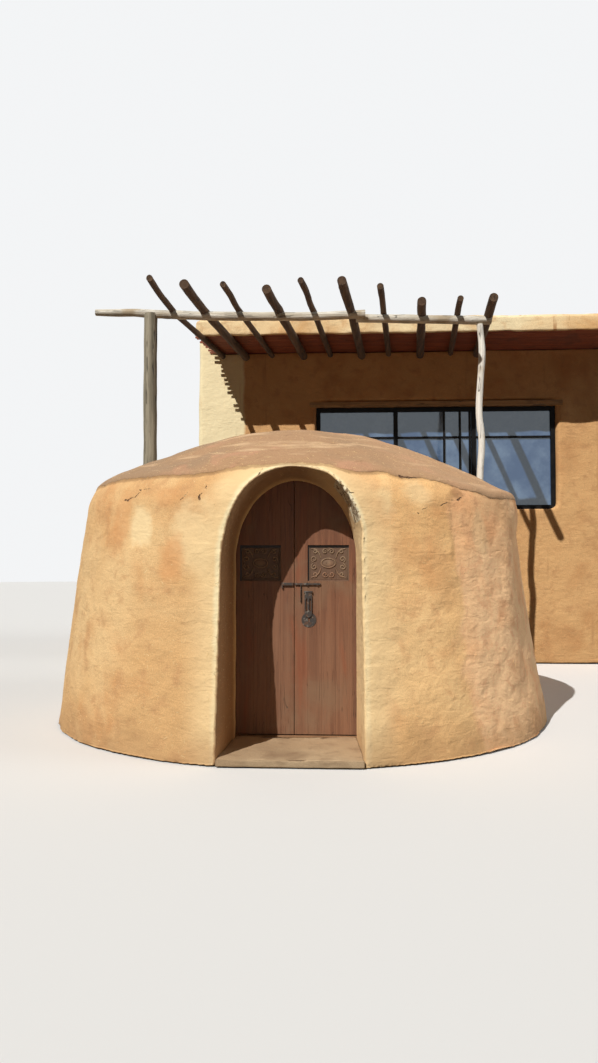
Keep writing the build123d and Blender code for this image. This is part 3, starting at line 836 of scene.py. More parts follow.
dome = {
    "nodes": [
        "dome_wall_left", "dome_wall_right", "dome_wall_back",
        "door_pier_left", "door_pier_right", "door_arch", "dome_roof",
    ],
    "cutLine": -1.0,  # the front is finer, for the crisp edge of the arch
    "overlap": 0.12,
    "frontVoxel": 0.0165,
    "backVoxel": 0.029,
    "waves": ((1.1, 0.020), (3.2, 0.010), (9.0, 0.004)),
    "inset": 0.014,  # how far the waves are held inside the solid's skin
    "coat": 0.013,
    # The doorway's opening, and how it widens from the door to the face of the wall
    "archX": 0.02,
    "archSpring": 1.44,
    "archHalf": 0.475,
    "archTop": 2.067,
    "archBack": -1.43,
    "archDepth": 1.04,
    "archWiden": 0.06,
    "archRise": 0.16,
    "chipAngles": (24, 32, 56, 64),  # where the edge is broken, in degrees right of upright
    "chipDepth": 0.009,
    # Height of the crease line by the angle off the front, in degrees
    "creaseAngles": [
        -180, -150, -120, -90, -55, -48, -37, -30, -25, -22, -17.5, -12.7, -8.3, -5.6, -2.9, 2.7,
        7.2, 10.3, 11.7, 13.3, 16.3, 21.4, 25.1, 30, 35.7, 42.4, 47.2, 53.2, 75, 100, 130, 160, 180,
    ],
    "creaseHeights": [
        2.03, 2.06, 2.01, 2.05, 2.094, 2.108, 2.095, 2.095, 2.09, 2.087, 2.109, 2.146, 2.152, 2.165,
        2.172, 2.18, 2.171, 2.15, 2.127, 2.113, 2.099, 2.111, 2.061, 2.07, 2.052, 2.004, 1.981,
        1.946, 1.98, 2.03, 2.0, 2.05, 2.03,
    ],
    # How far the finished roof sags below the solid, along x
    "sagPlaces": [
        -2.1, -1.87, -1.58, -1.38, -1.19, -0.8, -0.6, -0.3, 0.0, 0.3, 0.6, 0.8, 1.05, 1.5, 1.92, 2.08,
    ],
    "sagDepths": [
        0.0, 0.035, 0.010, 0.022, 0.048, 0.035, 0.012, 0.010, 0.012, 0.020, 0.022, 0.045, 0.063,
        0.066, 0.078, 0.010,
    ],
    "wornAngles": (4, 26, 62, 82),  # where the doorway's edge has worn back, right of upright
    "wornCentre": 1.5,
    "wornBack": 0.028,
    "flankBack": 0.045,
    "strawDensity": 70.0,
    "strawSeed": 4,
}


def archFlare(y):
    return np.clip((dome["archBack"] - y) / dome["archDepth"], 0, 1)


def archDistances(points):
    # How far a point is from the doorway's own surface, seen square on
    flare = archFlare(points[:, 1])
    half = dome["archHalf"] + dome["archWiden"] * flare
    tall = dome["archTop"] - dome["archSpring"] + dome["archRise"] * flare
    aside = np.abs(points[:, 0] - dome["archX"])
    rise = np.maximum(points[:, 2] - dome["archSpring"], 0)
    reach = np.sqrt((aside / half) ** 2 + (rise / tall) ** 2)
    curved = (reach - 1) * np.hypot(aside, rise) / np.maximum(reach, 0.01)
    return np.where(rise > 0, curved, aside - half)


def makeDomePart(name, side):
    piece = cutShell(copiedNodes(*dome["nodes"]), name, dome, side)
    mesh = piece.data
    points, normals = shapeOf(mesh)
    x, y, z = points.T
    spread = np.hypot(x, y)
    outward = (x * normals[:, 0] + y * normals[:, 1]) / np.maximum(spread, 0.01)
    away = archDistances(points)
    inReveal = (y < dome["archBack"] + 0.01) & (away < 0.008)
    facingOut = (outward > 0.15) | (normals[:, 2] > 0.25)
    outer = facingOut & ((spread > 1.75) | (z > 2.18)) & ~inReveal
    shift = np.full(len(points), -dome["inset"])
    for index, (scale, depth) in enumerate(dome["waves"]):
        shift += depth * swell(points, scale, index + 1)
    angle = np.degrees(np.arctan2(x, -y))
    crease = z - np.interp(angle, dome["creaseAngles"], dome["creaseHeights"])
    lap = dome["coat"] * softStep(crease, -0.014, 0.016) * (1 - 0.75 * softStep(crease, 0.05, 0.35))
    lap *= 1 - 0.6 * softStep(x, 0.7, 1.4)
    shift = np.where(outer, shift + lap, shift * 0.45)
    shift = np.where(inReveal, 0.004 * swell(points, 7.0, 8), shift)
    sag = np.interp(x, dome["sagPlaces"], dome["sagDepths"]) * softStep(crease, 0.02, 0.20) * outer
    flank = dome["flankBack"] * softStep(x, 1.72, 1.98) * hump(z, 0.0, 0.9, 1.62, 1.86) * outer
    # Broken plaster along the upper right edge of the arch
    turn = np.degrees(np.arctan2(x - dome["archX"], z - dome["archSpring"]))
    broken = hump(turn, *dome["chipAngles"])
    atEdge = np.exp(-((away - 0.002) / 0.015) ** 2) * (y < -1.75)
    bites = np.clip(swell(points, 26.0, 9) + 0.15, -0.6, 1)
    shift -= dome["chipDepth"] * broken * atEdge * bites
    shift -= 0.003 * atEdge * swell(points, 17.0, 10)
    # The edge of the arch has worn back on its upper right.
    worn = hump(turn, *dome["wornAngles"]) * softStep(-y, 1.60, 1.93)
    worn *= dome["wornBack"] * (1 - softStep(away, 0.0, 0.17)) * (spread < 2.3)
    aside = x - dome["archX"]
    rise = z - dome["wornCentre"]
    worn /= np.maximum(np.hypot(aside, rise), 0.1)
    points += normals * shift[:, None]
    x += worn * aside - flank
    z[:] = np.maximum(z + worn * rise - sag, 0)
    writePoints(mesh, keepInBox(points))
    writeAttribute(mesh, "creaseDistance", np.where(outer, crease, -1.0))
    writeAttribute(mesh, "archDistance", np.where(y < 0, np.abs(away), 1.0))
    writeAttribute(mesh, "brokenEdge", broken * atEdge)
    writeAttribute(mesh, "outerSkin", outer.astype(float))
    closeShell(piece, dome, side, "dome")
    return piece


def makeDome():
    front = makeDomePart("adobe_dome_front", -1)
    give(
        front, "house", "adobe_plaster", "door_pier_left", "door_pier_right", "door_arch",
        "dome_wall_left", "dome_wall_right", "dome_roof",
    )
    back = makeDomePart("adobe_dome_back", 1)
    give(back, "house", "adobe_plaster", "dome_wall_back")
    makeStraw(front, "straw_in_front")
    makeStraw(back, "straw_in_back")


# Walls and roof slab of the house behind

walls = {
    "nodes": [
        "house_wall_left", "house_wall_right", "house_wall_back", "front_wall_base",
        "front_pier_left", "front_pier_right",
    ],
    "voxel": 0.05,
}


def makeHouseWalls():
    build = copiedNodes(*walls["nodes"])
    addBlock(build, *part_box("front_wall_top"))
    piece = remeshed(build, "house_walls", walls["voxel"], 3)
    points, normals = shapeOf(piece.data)
    x, y, z = points.T
    shift = -0.010 + 0.012 * swell(points, 1.4, 11) + 0.007 * swell(points, 4.5, 12)
    nearWindow = (x > -0.2) & (x < 3.65) & (z > 2.1) & (z < 3.82) & (y < 4.2)
    shift = np.where(nearWindow, shift * 0.35, shift)
    points += normals * shift[:, None]
    z[:] = np.maximum(z, 0)
    writePoints(piece.data, keepInBox(points))
    dress(piece, "wall")
    give(piece, "house", "adobe_plaster", *walls["nodes"], "front_wall_top")


slab = {
    "cutLine": 3.30,
    "overlap": 0.2,
    "frontVoxel": 0.021,
    "backVoxel": 0.052,
    # The plaster hangs a little below the soffit all along the front.
    "lip": ((-1.566, 2.804, 4.478), (4.813, 2.872, 4.690)),
    "endRound": (0.105, 0.165),  # of the overhang's upper corners, along and down
    "top": 4.73,
    "left": -1.569,
    "right": 4.816,
    "front": 2.85,
    "overhang": 0.95,
}


def makeSlabPart(name, side):
    build = copiedNodes("roof_slab")
    if side < 0:
        addBlock(build, *slab["lip"])
    piece = cutShell(build, name, slab, side)
    points, normals = shapeOf(piece.data)
    shift = -0.006 + 0.012 * swell(points, 1.9, 21) + 0.006 * swell(points, 6.0, 22)
    points += normals * shift[:, None]
    x, y, z = points.T
    reach, drop = slab["endRound"]
    left = slab["left"] + np.clip(y - slab["front"], 0, slab["overhang"]) * pergola["slope"]
    away = 1 - np.clip(np.minimum(x - left, slab["right"] - x) / reach, 0, 1)
    ceiling = slab["top"] - drop * (1 - np.sqrt(np.maximum(1 - away**2, 0)))
    atFront = y < 3.81
    z[:] = np.where(atFront, np.minimum(z, ceiling), z)
    hanging = (z < 4.56) & (y < 2.90)
    z += np.where(hanging, 0.010 * swell(points * [1, 0, 0], 4.0, 23), 0)
    y -= np.where(y < 2.95, 0.010 * swell(points * [1, 0, 1], 2.6, 24), 0)
    x -= 0.012 * (x < left + 0.05) * atFront
    writePoints(piece.data, keepInBox(points))
    closeShell(piece, slab, side, "slab")
    give(piece, "house", "roof_plaster", "roof_slab")


# Geometry node trees

def newGeometryTree(name, inputs):
    inputs = {"Geometry": "NodeSocketGeometry", **inputs, "Material": "NodeSocketMaterial"}
    return newTree("GeometryNodeTree", name, inputs, {"Geometry": "NodeSocketGeometry"})


def closeTree(tree, geometry, given, result):
    real = nodeOut(tree, "GeometryNodeRealizeInstances", {"Geometry": geometry})
    inputs = {"Geometry": real, "Material": given["Material"]}
    feed(result["Geometry"], nodeOut(tree, "GeometryNodeSetMaterial", inputs))
    return tree


def storedOut(tree, name):
    kind = "GeometryNodeInputNamedAttribute"
    return nodeOut(tree, kind, {"Name": name}, "Attribute", data_type="FLOAT")


def randomOut(tree, low, high, seed):
    inputs = {"Min": low, "Max": high, "Seed": seed}
    return nodeOut(tree, "FunctionNodeRandomValue", inputs, "Value", data_type="FLOAT_VECTOR")


def runTree(piece, tree, values):
    modifier = piece.modifiers.new(tree.name, "NODES")
    modifier.node_group = tree
    for item in tree.interface.items_tree:
        if item.item_type == "SOCKET" and item.in_out == "INPUT" and item.name in values:
            modifier[item.identifier] = values[item.name]
    return applyModifiers(piece)


# Pergola: sizes repeat those of the solids

pergola = {
    "wallFace": 3.8,
    "innerLeft": -1.42,
    "slope": math.tan(math.radians(5)),
    "soffit": 4.5,
    "places": [0.075, 0.412, 0.796, 1.261, 1.649, 2.104, 2.492, 2.948, 3.385, 3.758],
    "fronts": [0.56, 0.715, 0.775, 0.905, 0.705, 0.69, 0.93, 1.4, 1.38, 1.32],
    "bends": [-0.115, -0.058, -0.033, -0.010, 0, 0, 0, 0, 0, 0],  # where it crosses the beam
    "tips": [-0.030, -0.032, -0.005, -0.035, -0.008, -0.030, 0, 0, 0, 0],  # at the free end
    "cutEnds": (1, 3, 7),  # the rafters with a pale sawn end
    "thin": 0.085,
    "thick": 0.120,
    "intoWall": 0.14,
    "beamY": 1.7,
    "beamZ": 4.374,
    "beamRadius": 0.055,
    # Share of the way between the posts, how far on, back and up from there, and share of the girth
    "beams": {
        "beam_left": [
            (0, -0.666, -0.090, 0.060, 0.70),
            (0, -0.42, -0.085, 0.054, 0.80),
            (0, -0.20, -0.075, 0.055, 0.88),
            (0, 0, -0.065, 0.042, 0.93),
            (0.09, 0, -0.053, 0.026, 0.93),
            (0.18, 0, -0.041, 0.011, 0.96),
            (0.37, 0, -0.021, 0, 0.95),
            (0.5, 0, 0, 0, 0.93),
            (0.648, 0, 0, 0.018, 0.89),
        ],
        "beam_right": [
            (0.622, 0, 0.114, 0.004, 0.91),
            (0.74, 0, 0.155, 0.002, 0.95),
            (0.89, 0, 0.210, 0, 0.94),
            (1, 0, 0.258, 0, 0.92),
            (1, 0.138, 0.270, 0, 0.90),
        ],
    },
    "beamSeeds": {"beam_left": 1.3, "beam_right": 5.1},
    "leftPost": {"x": -1.900, "y": 1.635, "radius": 0.080, "top": 0.040},
    # Sideways, share of the height and of the girth
    "leftBends": [(0, 0, 1.05), (0.006, 0.3, 1.0), (0.004, 0.62, 1.0), (-0.002, 0.85, 0.98), (0, 1, 0.98)],
    "rightPost": {"x": -0.086, "y": 1.958, "radius": 0.042, "top": -0.049},  # x from the last rafter
    "rightBends": [0, -0.43, 0.33, -0.24, 0.52, -0.28, -0.57, -0.28, 0.28, -0.4, 0, 0.57, 0],
}
# Roughness of each kind of pole, and how its ridges run
bark = {
    "rafter": {"Sides": 16, "Lumps": 0.005, "Ridges": 0.005, "Knots": 0.005, "Grain": (36.0, 4.0, 36.0)},
    "beam": {"Sides": 20, "Lumps": 0.008, "Ridges": 0.006, "Knots": 0.010, "Grain": (3.0, 34.0, 34.0)},
    "leftPost": {"Sides": 24, "Lumps": 0.008, "Ridges": 0.009, "Knots": 0.005, "Grain": (26.0, 26.0, 2.0)},
    "rightPost": {"Sides": 18, "Lumps": 0.007, "Ridges": 0.006, "Knots": 0.008, "Grain": (38.0, 38.0, 3.0)},
}


def makePoleTree():
    # A crooked pole along a line of points that carry their own girth
    tree, given, result = newGeometryTree(
        "crookedPole",
        {
            "Sides": 18, "Grain": (1.0, 1.0, 1.0), "Lumps": 0.004, "Ridges": 0.002, "Knots": 0.008,
            "Seed": 0.0,
        },
    )
    curve = nodeOut(tree, "GeometryNodeMeshToCurve", {"Mesh": given["Geometry"]})
    circle = {"Resolution": given["Sides"], "Radius": 1.0}
    ring = nodeOut(tree, "GeometryNodeCurvePrimitiveCircle", circle)
    sweep = {"Curve": curve, "Profile Curve": ring, "Scale": storedOut(tree, "girth"), "Fill Caps": True}
    tube = nodeOut(tree, "GeometryNodeCurveToMesh", sweep)
    seeded = nodeOut(tree, "GeometryNodeInputPosition", {}) + given["Seed"]
    lumps = noiseOut(seeded, 3.0, 2.0) - 0.5
    ridges = noiseOut(seeded * given["Grain"], 1.0, 3.0) - 0.5
    knots = rangeOut(cellsOut(seeded, 2.6), 0.05, 0.20, 1.0, 0.0)
    tall = lumps * (given["Lumps"] * 2.0) + ridges * given["Ridges"] + knots * given["Knots"]
    moved = {"Geometry": tube, "Offset": nodeOut(tree, "GeometryNodeInputNormal", {}) * tall}
    shaped = nodeOut(tree, "GeometryNodeSetPosition", moved)
    smooth = nodeOut(tree, "GeometryNodeSetShadeSmooth", {"Geometry": shaped})
    return closeTree(tree, smooth, given, result)


def smoothLine(points, step):
    # Points every step along a curve through the given (x, y, z, girth) points
    rows = [Vector(point) for point in points]
    rows = [2 * rows[0] - rows[1]] + rows + [2 * rows[-1] - rows[-2]]
    line = []
    for index in range(1, len(rows) - 2):
        before, first, second, after = rows[index - 1 : index + 3]
        count = max(2, round((second.to_3d() - first.to_3d()).length / step))
        slope = second - before
        bend = 2 * before - 5 * first + 4 * second - after
        twist = 3 * first - before - 3 * second + after
        for part in range(count):
            t = part / count
            line.append(0.5 * (2 * first + slope * t + bend * t**2 + twist * t**3))
    line.append(rows[-2])
    return line


def makePole(name, node, slot, kind, seed, points, cutLook=None, step=0.05):
    line = smoothLine(points, step)
    mesh = bpy.data.meshes.new(name)
    mesh.from_pydata([row.to_3d() for row in line], [(i, i + 1) for i in range(len(line) - 1)], [])
    writeAttribute(mesh, "girth", [row[3] for row in line])
    piece = link(mesh, name)
    runTree(piece, poleTree, {**bark[kind], "Seed": seed, "Material": materials[kind]})
    # The cut ends get a slightly hollow, rough face of their own.
    build = bmesh.new()
    build.from_mesh(piece.data)
    for cap in [face for face in build.faces if len(face.verts) == bark[kind]["Sides"]]:
        for edge in cap.edges:
            edge.smooth = False
        bmesh.ops.inset_region(build, faces=[cap], thickness=0.006, depth=0.0)
        bmesh.ops.inset_region(build, faces=[cap], thickness=0.010, depth=-0.002)
        for face in bmesh.ops.poke(build, faces=[cap])["faces"]:
            face.material_index = 1
            face.smooth = False
    bmesh.ops.recalc_face_normals(build, faces=build.faces)
    build.to_mesh(piece.data)
    build.free()
    dress(piece, kind, cutLook or kind)
    writePoints(piece.data, keepInBox(pointsOf(piece.data), 0.0))
    give(piece, "house", slot, node)


def rafterX(place, y):
    return pergola["innerLeft"] + place + (y - pergola["wallFace"]) * pergola["slope"]


def makeRafters():
    random.seed(12)
    rows = zip(pergola["places"], pergola["fronts"], pergola["bends"], pergola["tips"])
    for index, (place, front, bend, tip) in enumerate(rows):
        diameter = pergola["thick"] if index % 2 else pergola["thin"]
        radius = diameter / 2 - 0.003
        z = pergola["soffit"] - diameter / 2 + 0.001
        back = pergola["wallFace"] + pergola["intoWall"]
        bendYs = [front, pergola["beamY"], pergola["wallFace"]]
        points = []
        count = 8
        for step in range(count + 1):
            y = front + (back - front) * step / count
            free = min(1.0, max(0.0, (2.6 - y) / 1.2))
            sway = free * random.uniform(-0.010, 0.010)
            dip = free * random.uniform(-0.006, 0.004)
            taper = 0.96 - 0.05 * free + random.uniform(-0.03, 0.03)
            x = rafterX(place, y) + float(np.interp(y, bendYs, [tip, bend, 0.0]))
            points.append((x + sway, y, z + dip, radius * taper))
        cutLook = "cutEnd" if index in pergola["cutEnds"] else "rafter"
        makePole(
            f"rafter_pole_{index + 1}", f"rafter_{index + 1}", "dark_rafter", "rafter", index * 2.3,
            points, cutLook, 0.06,
        )


def makeBeamsAndPosts():
    left, right = pergola["leftPost"], pergola["rightPost"]
    leftX = left["x"]
    rightX = rafterX(pergola["places"][-1], pergola["beamY"]) + right["x"]
    for name, rows in pergola["beams"].items():
        line = [
            (leftX + share * (rightX - leftX) + on, pergola["beamY"] + back, pergola["beamZ"] + up,
             pergola["beamRadius"] * girth)
            for share, on, back, up, girth in rows
        ]
        makePole(name + "_pole", name, "peeled_pole", "beam", pergola["beamSeeds"][name], line)
    top = pergola["beamZ"] + left["top"]
    line = [
        (leftX + aside, left["y"], top * share, left["radius"] * girth)
        for aside, share, girth in pergola["leftBends"]
    ]
    makePole("grey_post", "left_post", "grey_post", "leftPost", 2.2, line)
    top = pergola["beamZ"] + right["top"]
    bends = pergola["rightBends"]
    line = [
        (rightX + bend * right["radius"], right["y"], top * index / (len(bends) - 1), right["radius"] * 0.96)
        for index, bend in enumerate(bends)
    ]
    makePole("crooked_post", "right_post", "peeled_pole", "rightPost", 7.7, line)


# Laths of the soffit, whose uneven left ends stick out under the slab

soffit = {
    "pitch": 0.062,
    "gap": 0.005,
    "thickness": 0.026,
    "rise": 0.015,
    "left": -1.42,
    "right": 4.90,
    "front": 2.85,
    "back": 7.80,
    "overLeft": (0.050, 0.125),  # the least and most that a lath sticks out past the wall
}


def makeLathTree():
    tree, given, result = newGeometryTree(
        "soffitLaths",
        {
            "Count": 80, "Pitch": 0.062, "Lath": (6.3, 0.057, 0.026), "Start": (0.0, 0.0, 0.0),
            "Skew": 0.087, "Wall Line": 3.8, "Left Line": -1.4, "Least Over": 0.05, "Most Over": 0.1,
            "Seed": 5,
        },
    )
    pitch = given["Pitch"]
    line = {"Count": given["Count"], "Start Location": given["Start"], "Offset": combined(0.0, pitch)}
    box = {"Size": given["Lath"], "Vertices X": 40, "Vertices Y": 3, "Vertices Z": 2}
    spread = {
        "Points": nodeOut(tree, "GeometryNodeMeshLine", line),
        "Instance": nodeOut(tree, "GeometryNodeMeshCube", box),
        "Scale": randomOut(tree, (0.999, 0.86, 0.84), (1.0, 1.0, 1.0), given["Seed"]),
    }
    placed = nodeOut(tree, "GeometryNodeInstanceOnPoints", spread)
    real = nodeOut(tree, "GeometryNodeRealizeInstances", {"Geometry": placed})
    place = nodeOut(tree, "GeometryNodeInputPosition", {})
    x, y, z = partsOut(place)
    outOf = given["Wall Line"] - y
    shift = join("MAXIMUM", outOf, 0.0) * given["Skew"]
    # Each lath ends at its own length, from the number of its row, and narrows to its end.
    rowShare = (y - partsOut(given["Start"])[1]) / pitch + 0.5
    rowNumber = join("FLOOR", rowShare)
    offCentre = rowShare - rowNumber - 0.5
    own = nodeOut(tree, "ShaderNodeTexWhiteNoise", {"W": rowNumber}, "Value", noise_dimensions="1D")
    own = rangeOut(own, 0.0, 1.0, given["Least Over"], given["Most Over"])
    atEnd = join("LESS_THAN", x, given["Left Line"] + 0.02) * join("GREATER_THAN", outOf, 0.01)
    wavy = noiseOut(place, 2.7, 3.0) - 0.5
    cupped = noiseOut(place, 9.0, 2.0) - 0.5
    narrow = offCentre * atEnd * (pitch * -0.65)
    move = combined((shift + own * atEnd) * -1.0, wavy * 0.006 + narrow, cupped * 0.004)
    bent = nodeOut(tree, "GeometryNodeSetPosition", {"Geometry": real, "Offset": move})
    return closeTree(tree, bent, given, result)


def makeSoffit():
    piece = link(bpy.data.meshes.new("soffit_laths"), "soffit_laths")
    deep = soffit["back"] - soffit["front"]
    count = round(deep / soffit["pitch"])
    pitch = deep / count
    middle = (soffit["left"] + soffit["right"]) / 2
    least, most = soffit["overLeft"]
    values = {
        "Count": count,
        "Pitch": pitch,
        "Lath": (soffit["right"] - soffit["left"], pitch - soffit["gap"], soffit["thickness"]),
        "Start": (middle, soffit["front"] + pitch / 2, pergola["soffit"] + soffit["rise"]),
        "Skew": pergola["slope"],
        "Wall Line": pergola["wallFace"],
        "Left Line": soffit["left"],
        "Least Over": least,
        "Most Over": most,
        "Material": materials["boards"],
    }
    runTree(piece, makeLathTree(), values)
    give(piece, "house", "roof_board", "roof_boards")


# Straw in the plaster

def makeStrawTree():
    tree, given, result = newGeometryTree(
        "strawInPlaster", {"Density": 60.0, "Straw": (0.03, 0.0022, 0.0016), "Seed": 1}
    )
    inputs = {name: given[name] for name in ("Density", "Seed")}
    inputs.update({"Mesh": given["Geometry"], "Selection": storedOut(tree, "outerSkin")})
    inputs["Selection"] = join("GREATER_THAN", inputs["Selection"], 0.9)
    spots = addNode(tree, "GeometryNodeDistributePointsOnFaces", inputs).outputs
    spin = randomOut(tree, (-0.10, -0.10, -3.14), (0.10, 0.10, 3.14), given["Seed"])
    turn = {"Rotation": Flow(spots["Rotation"]), "Rotate By": spin}
    spread = {
        "Points": Flow(spots["Points"]),
        "Instance": nodeOut(tree, "GeometryNodeMeshCube", {"Size": given["Straw"]}),
        "Rotation": nodeOut(tree, "FunctionNodeRotateRotation", turn, rotation_space="LOCAL"),
        "Scale": randomOut(tree, (0.35, 0.7, 0.7), (1.3, 1.2, 1.2), 9),
    }
    return closeTree(tree, nodeOut(tree, "GeometryNodeInstanceOnPoints", spread), given, result)


def makeStraw(domePiece, name):
    piece = link(domePiece.data.copy(), name)
    values = {"Density": dome["strawDensity"], "Seed": dome["strawSeed"], "Material": materials["straw"]}
    runTree(piece, strawTree, values)
    writePoints(piece.data, keepInBox(pointsOf(piece.data), 0.0005))
    give(piece, "house", "adobe_plaster")


# Door leaves of upright boards, with a sunk carved panel in each

door = {
    "x": 0.02,
    "seam": 0.006,
    "front": -1.425,
    "thickness": 0.045,
    "bottom": 0.070,
    "top": 2.102,
    "heel": 0.4775,
    "pivotRadius": 0.016,
    "pivotLength": 0.030,
    "boards": [0.0025, 0.107, 0.216, 0.325, 0.434, 0.463],  # edges, out from the seam
    "panel": (0.107, 0.434),
    "panelZ": (1.276, 1.560),
    "pocket": 0.018,
    "chamfer": 0.0014,
}


def makeLeaf(side, hand):
    build = bmesh.new()
    random.seed(31 + side)
    front = door["front"]
    back = front + door["thickness"]
    bottom, top = door["bottom"], door["top"]
    panelLow, panelHigh = door["panelZ"]
    heelX = door["x"] + side * door["heel"]
    edges = door["boards"] + [abs(heelX - door["seam"])]

    def board(inner, outer, ys, zs, chamfer=0.0):
        xs = sorted((door["seam"] + side * inner, door["seam"] + side * outer))
        addBlock(build, (xs[0], ys[0], zs[0]), (xs[1], ys[1], zs[1]), chamfer)

    for index in range(len(edges) - 1):
        inner, outer = edges[index], edges[index + 1]
        spans = [(bottom, top)]
        if inner >= door["panel"][0] - 0.001 and outer <= door["panel"][1] + 0.001:
            spans = [(bottom, panelLow), (panelHigh, top)]
        lap = 0.0 if index == len(edges) - 2 else 0.0003
        proud = random.uniform(0.0, 0.0010)
        for span in spans:
            board(inner, outer - lap, (front + proud, back - proud), span, door["chamfer"])
    # The board behind the carved panel
    board(*door["panel"], (front + door["pocket"], back), door["panelZ"])
    # Round heel and its pivots
    middle = front + door["thickness"] / 2
    reach = door["pivotLength"]
    for radius, low, high in (
        (door["thickness"] / 2 - 0.0003, bottom, top),
        (door["pivotRadius"], bottom - reach, top + reach),
    ):
        bmesh.ops.create_cone(
            build, cap_ends=True, segments=28, radius1=radius, radius2=radius, depth=high - low,
            matrix=Matrix.Translation((heelX, middle, (low + high) / 2)),
        )
    piece = pieceFrom(build, f"{hand}_leaf_boards")
    dress(piece, "door")
    give(piece, f"{hand}_leaf", "door_wood", f"{hand}_door_leaf")


# Carved panels: a border, scrolls in pairs and a plain oval

panel = {
    "centreOffset": 0.2705,
    "z": 1.418,
    "half": 0.1632,
    "tall": 0.1417,
    "back": -1.407,
    "plate": 0.002,
    # Inset, width, how much the uprights are cut short, how proud, edge and its segments
    "rims": ((0.0, 0.009, 0.009, 0.0025, 0.0012, 2), (0.015, 0.004, 0.0, 0.004, 0.0015, 1)),
    "strand": 0.0062,
    "oval": (0.056, 0.036),
    "field": (0.052, 0.0055, 0.032, 1.0),
}


def scrollPoints(centre, start, turn, size, turns=1.35, count=26):
    # A spiral that winds in to its centre from a start angle, to the left (1) or right (-1)
    points = []
    for index in range(count):
        share = index / (count - 1)
        angle = math.radians(start) + turn * share * turns * 2 * math.pi
        radius = size * (1 - 0.82 * share)
        points.append((centre[0] + radius * math.cos(angle), centre[1] + radius * math.sin(angle)))
    return points


def panelScrolls():
    half, tall = panel["half"], panel["tall"]
    # A long curve from each corner towards the middle
    bow = []
    for share in np.linspace(0, 1, 14):
        swing = math.sin(math.pi * share)
        u = (half - 0.026) * (1 - share) + 0.060 * share - 0.016 * swing
        bow.append((u, (tall - 0.026) * (1 - share) + 0.040 * share + 0.012 * swing))
    # Scrolls at the top and bottom, at the sides and in the corners
    quarter = [
        scrollPoints((0.026, tall - 0.050), 180, -1, 0.024),
        scrollPoints((half - 0.050, 0.030), -80, 1, 0.026),
        scrollPoints((half - 0.056, tall - 0.050), 60, 1, 0.022, 1.1),
        bow,
    ]
    lines = [
        [(sideways * u, upright * v) for u, v in line]
        for sideways in (-1, 1) for upright in (-1, 1) for line in quarter
    ]
    wide, high = panel["oval"]
    angles = np.linspace(0, 2 * math.pi, 41)
    return lines + [[(wide * math.cos(angle), high * math.sin(angle)) for angle in angles]]


def strandMesh(lines, radius, centre, y):
    data = bpy.data.curves.new("strands", "CURVE")
    data.dimensions = "3D"
    data.bevel_depth = radius
    data.bevel_resolution = 2
    data.use_fill_caps = True
    for line in lines:
        closed = math.dist(line[0], line[-1]) < 1e-6
        used = line[:-1] if closed else line
        spline = data.splines.new("POLY")
        spline.points.add(len(used) - 1)
        spline.use_cyclic_u = closed
        for index, (u, v) in enumerate(used):
            girth = 1.0 if closed else 0.65 + 0.35 * math.sin(math.pi * (index + 1) / (len(used) + 1))
            spline.points[index].co = (centre[0] + u, y, centre[1] + v, 1.0)
            spline.points[index].radius = girth
    carrier = link(data, "strands")
    mesh = evaluated(carrier)
    bpy.data.objects.remove(carrier)
    return mesh


def makeCarvedPanel(side, hand):
    centreX = door["seam"] + side * panel["centreOffset"]
    face = panel["back"] - panel["plate"]
    build = bmesh.new()

    def raised(low, high, front, back, *edge):
        addBlock(
            build, (centreX + low[0], front, panel["z"] + low[1]),
            (centreX + high[0], back, panel["z"] + high[1]), *edge,
        )

    half, tall = panel["half"], panel["tall"]
    raised((-half, -tall), (half, tall), face, panel["back"])
    for inset, wide, short, proud, *edge in panel["rims"]:
        u, v = half - inset, tall - inset
        for low, high in (
            ((-u, -v), (u, -v + wide)),
            ((-u, v - wide), (u, v)),
            ((-u, -v + short), (-u + wide, v - short)),
            ((u - wide, -v + short), (u, v - short)),
        ):
            raised(low, high, face - proud, face + 0.001, *edge)
    strands = strandMesh(panelScrolls(), panel["strand"], (centreX, panel["z"]), face - 0.001)
    build.from_mesh(strands)
    bpy.data.meshes.remove(strands)
    # A plain raised field inside the oval
    bmesh.ops.create_uvsphere(
        build, u_segments=40, v_segments=12, radius=1.0,
        matrix=Matrix.Translation((centreX, face + 0.001, panel["z"])) @ Matrix.Diagonal(panel["field"]),
    )
    piece = pieceFrom(build, f"{hand}_scroll_panel")
    dress(piece, "carved")
    give(piece, f"{hand}_leaf", "carved_wood", f"{hand}_carved_panel")


# Copies of small solids with worn, rounded edges

def makeWornCopy(node, name, body, slot, look, edge):
    build = copiedNodes(node)
    bmesh.ops.dissolve_limit(
        build, angle_limit=math.radians(1.0), verts=build.verts, edges=build.edges
    )
    piece = pieceFrom(build, name)
    bevel = piece.modifiers.new("wornEdges", "BEVEL")
    bevel.width = edge
    bevel.segments = 2
    bevel.limit_method = "ANGLE"
    bevel.angle_limit = math.radians(35)
    applyModifiers(piece)
    dress(piece, look)
    give(piece, body, slot, node)


def makeIronwork():
    for node, name, body, edge in (
        ("bolt", "drawn_bolt", "bolt", 0.0016),
        ("latch_staples", "bolt_staples", "right_leaf", 0.0012),
        ("bolt_catch", "hooked_catch", "left_leaf", 0.0012),
        ("hasp", "slotted_hasp", "hasp", 0.0016),
        ("lock_plate", "round_lock_plate", "right_leaf", 0.0010),
    ):
        makeWornCopy(node, name, body, "black_iron", "iron", edge)


# Window: frame, extra bars, panes and the lintel over it

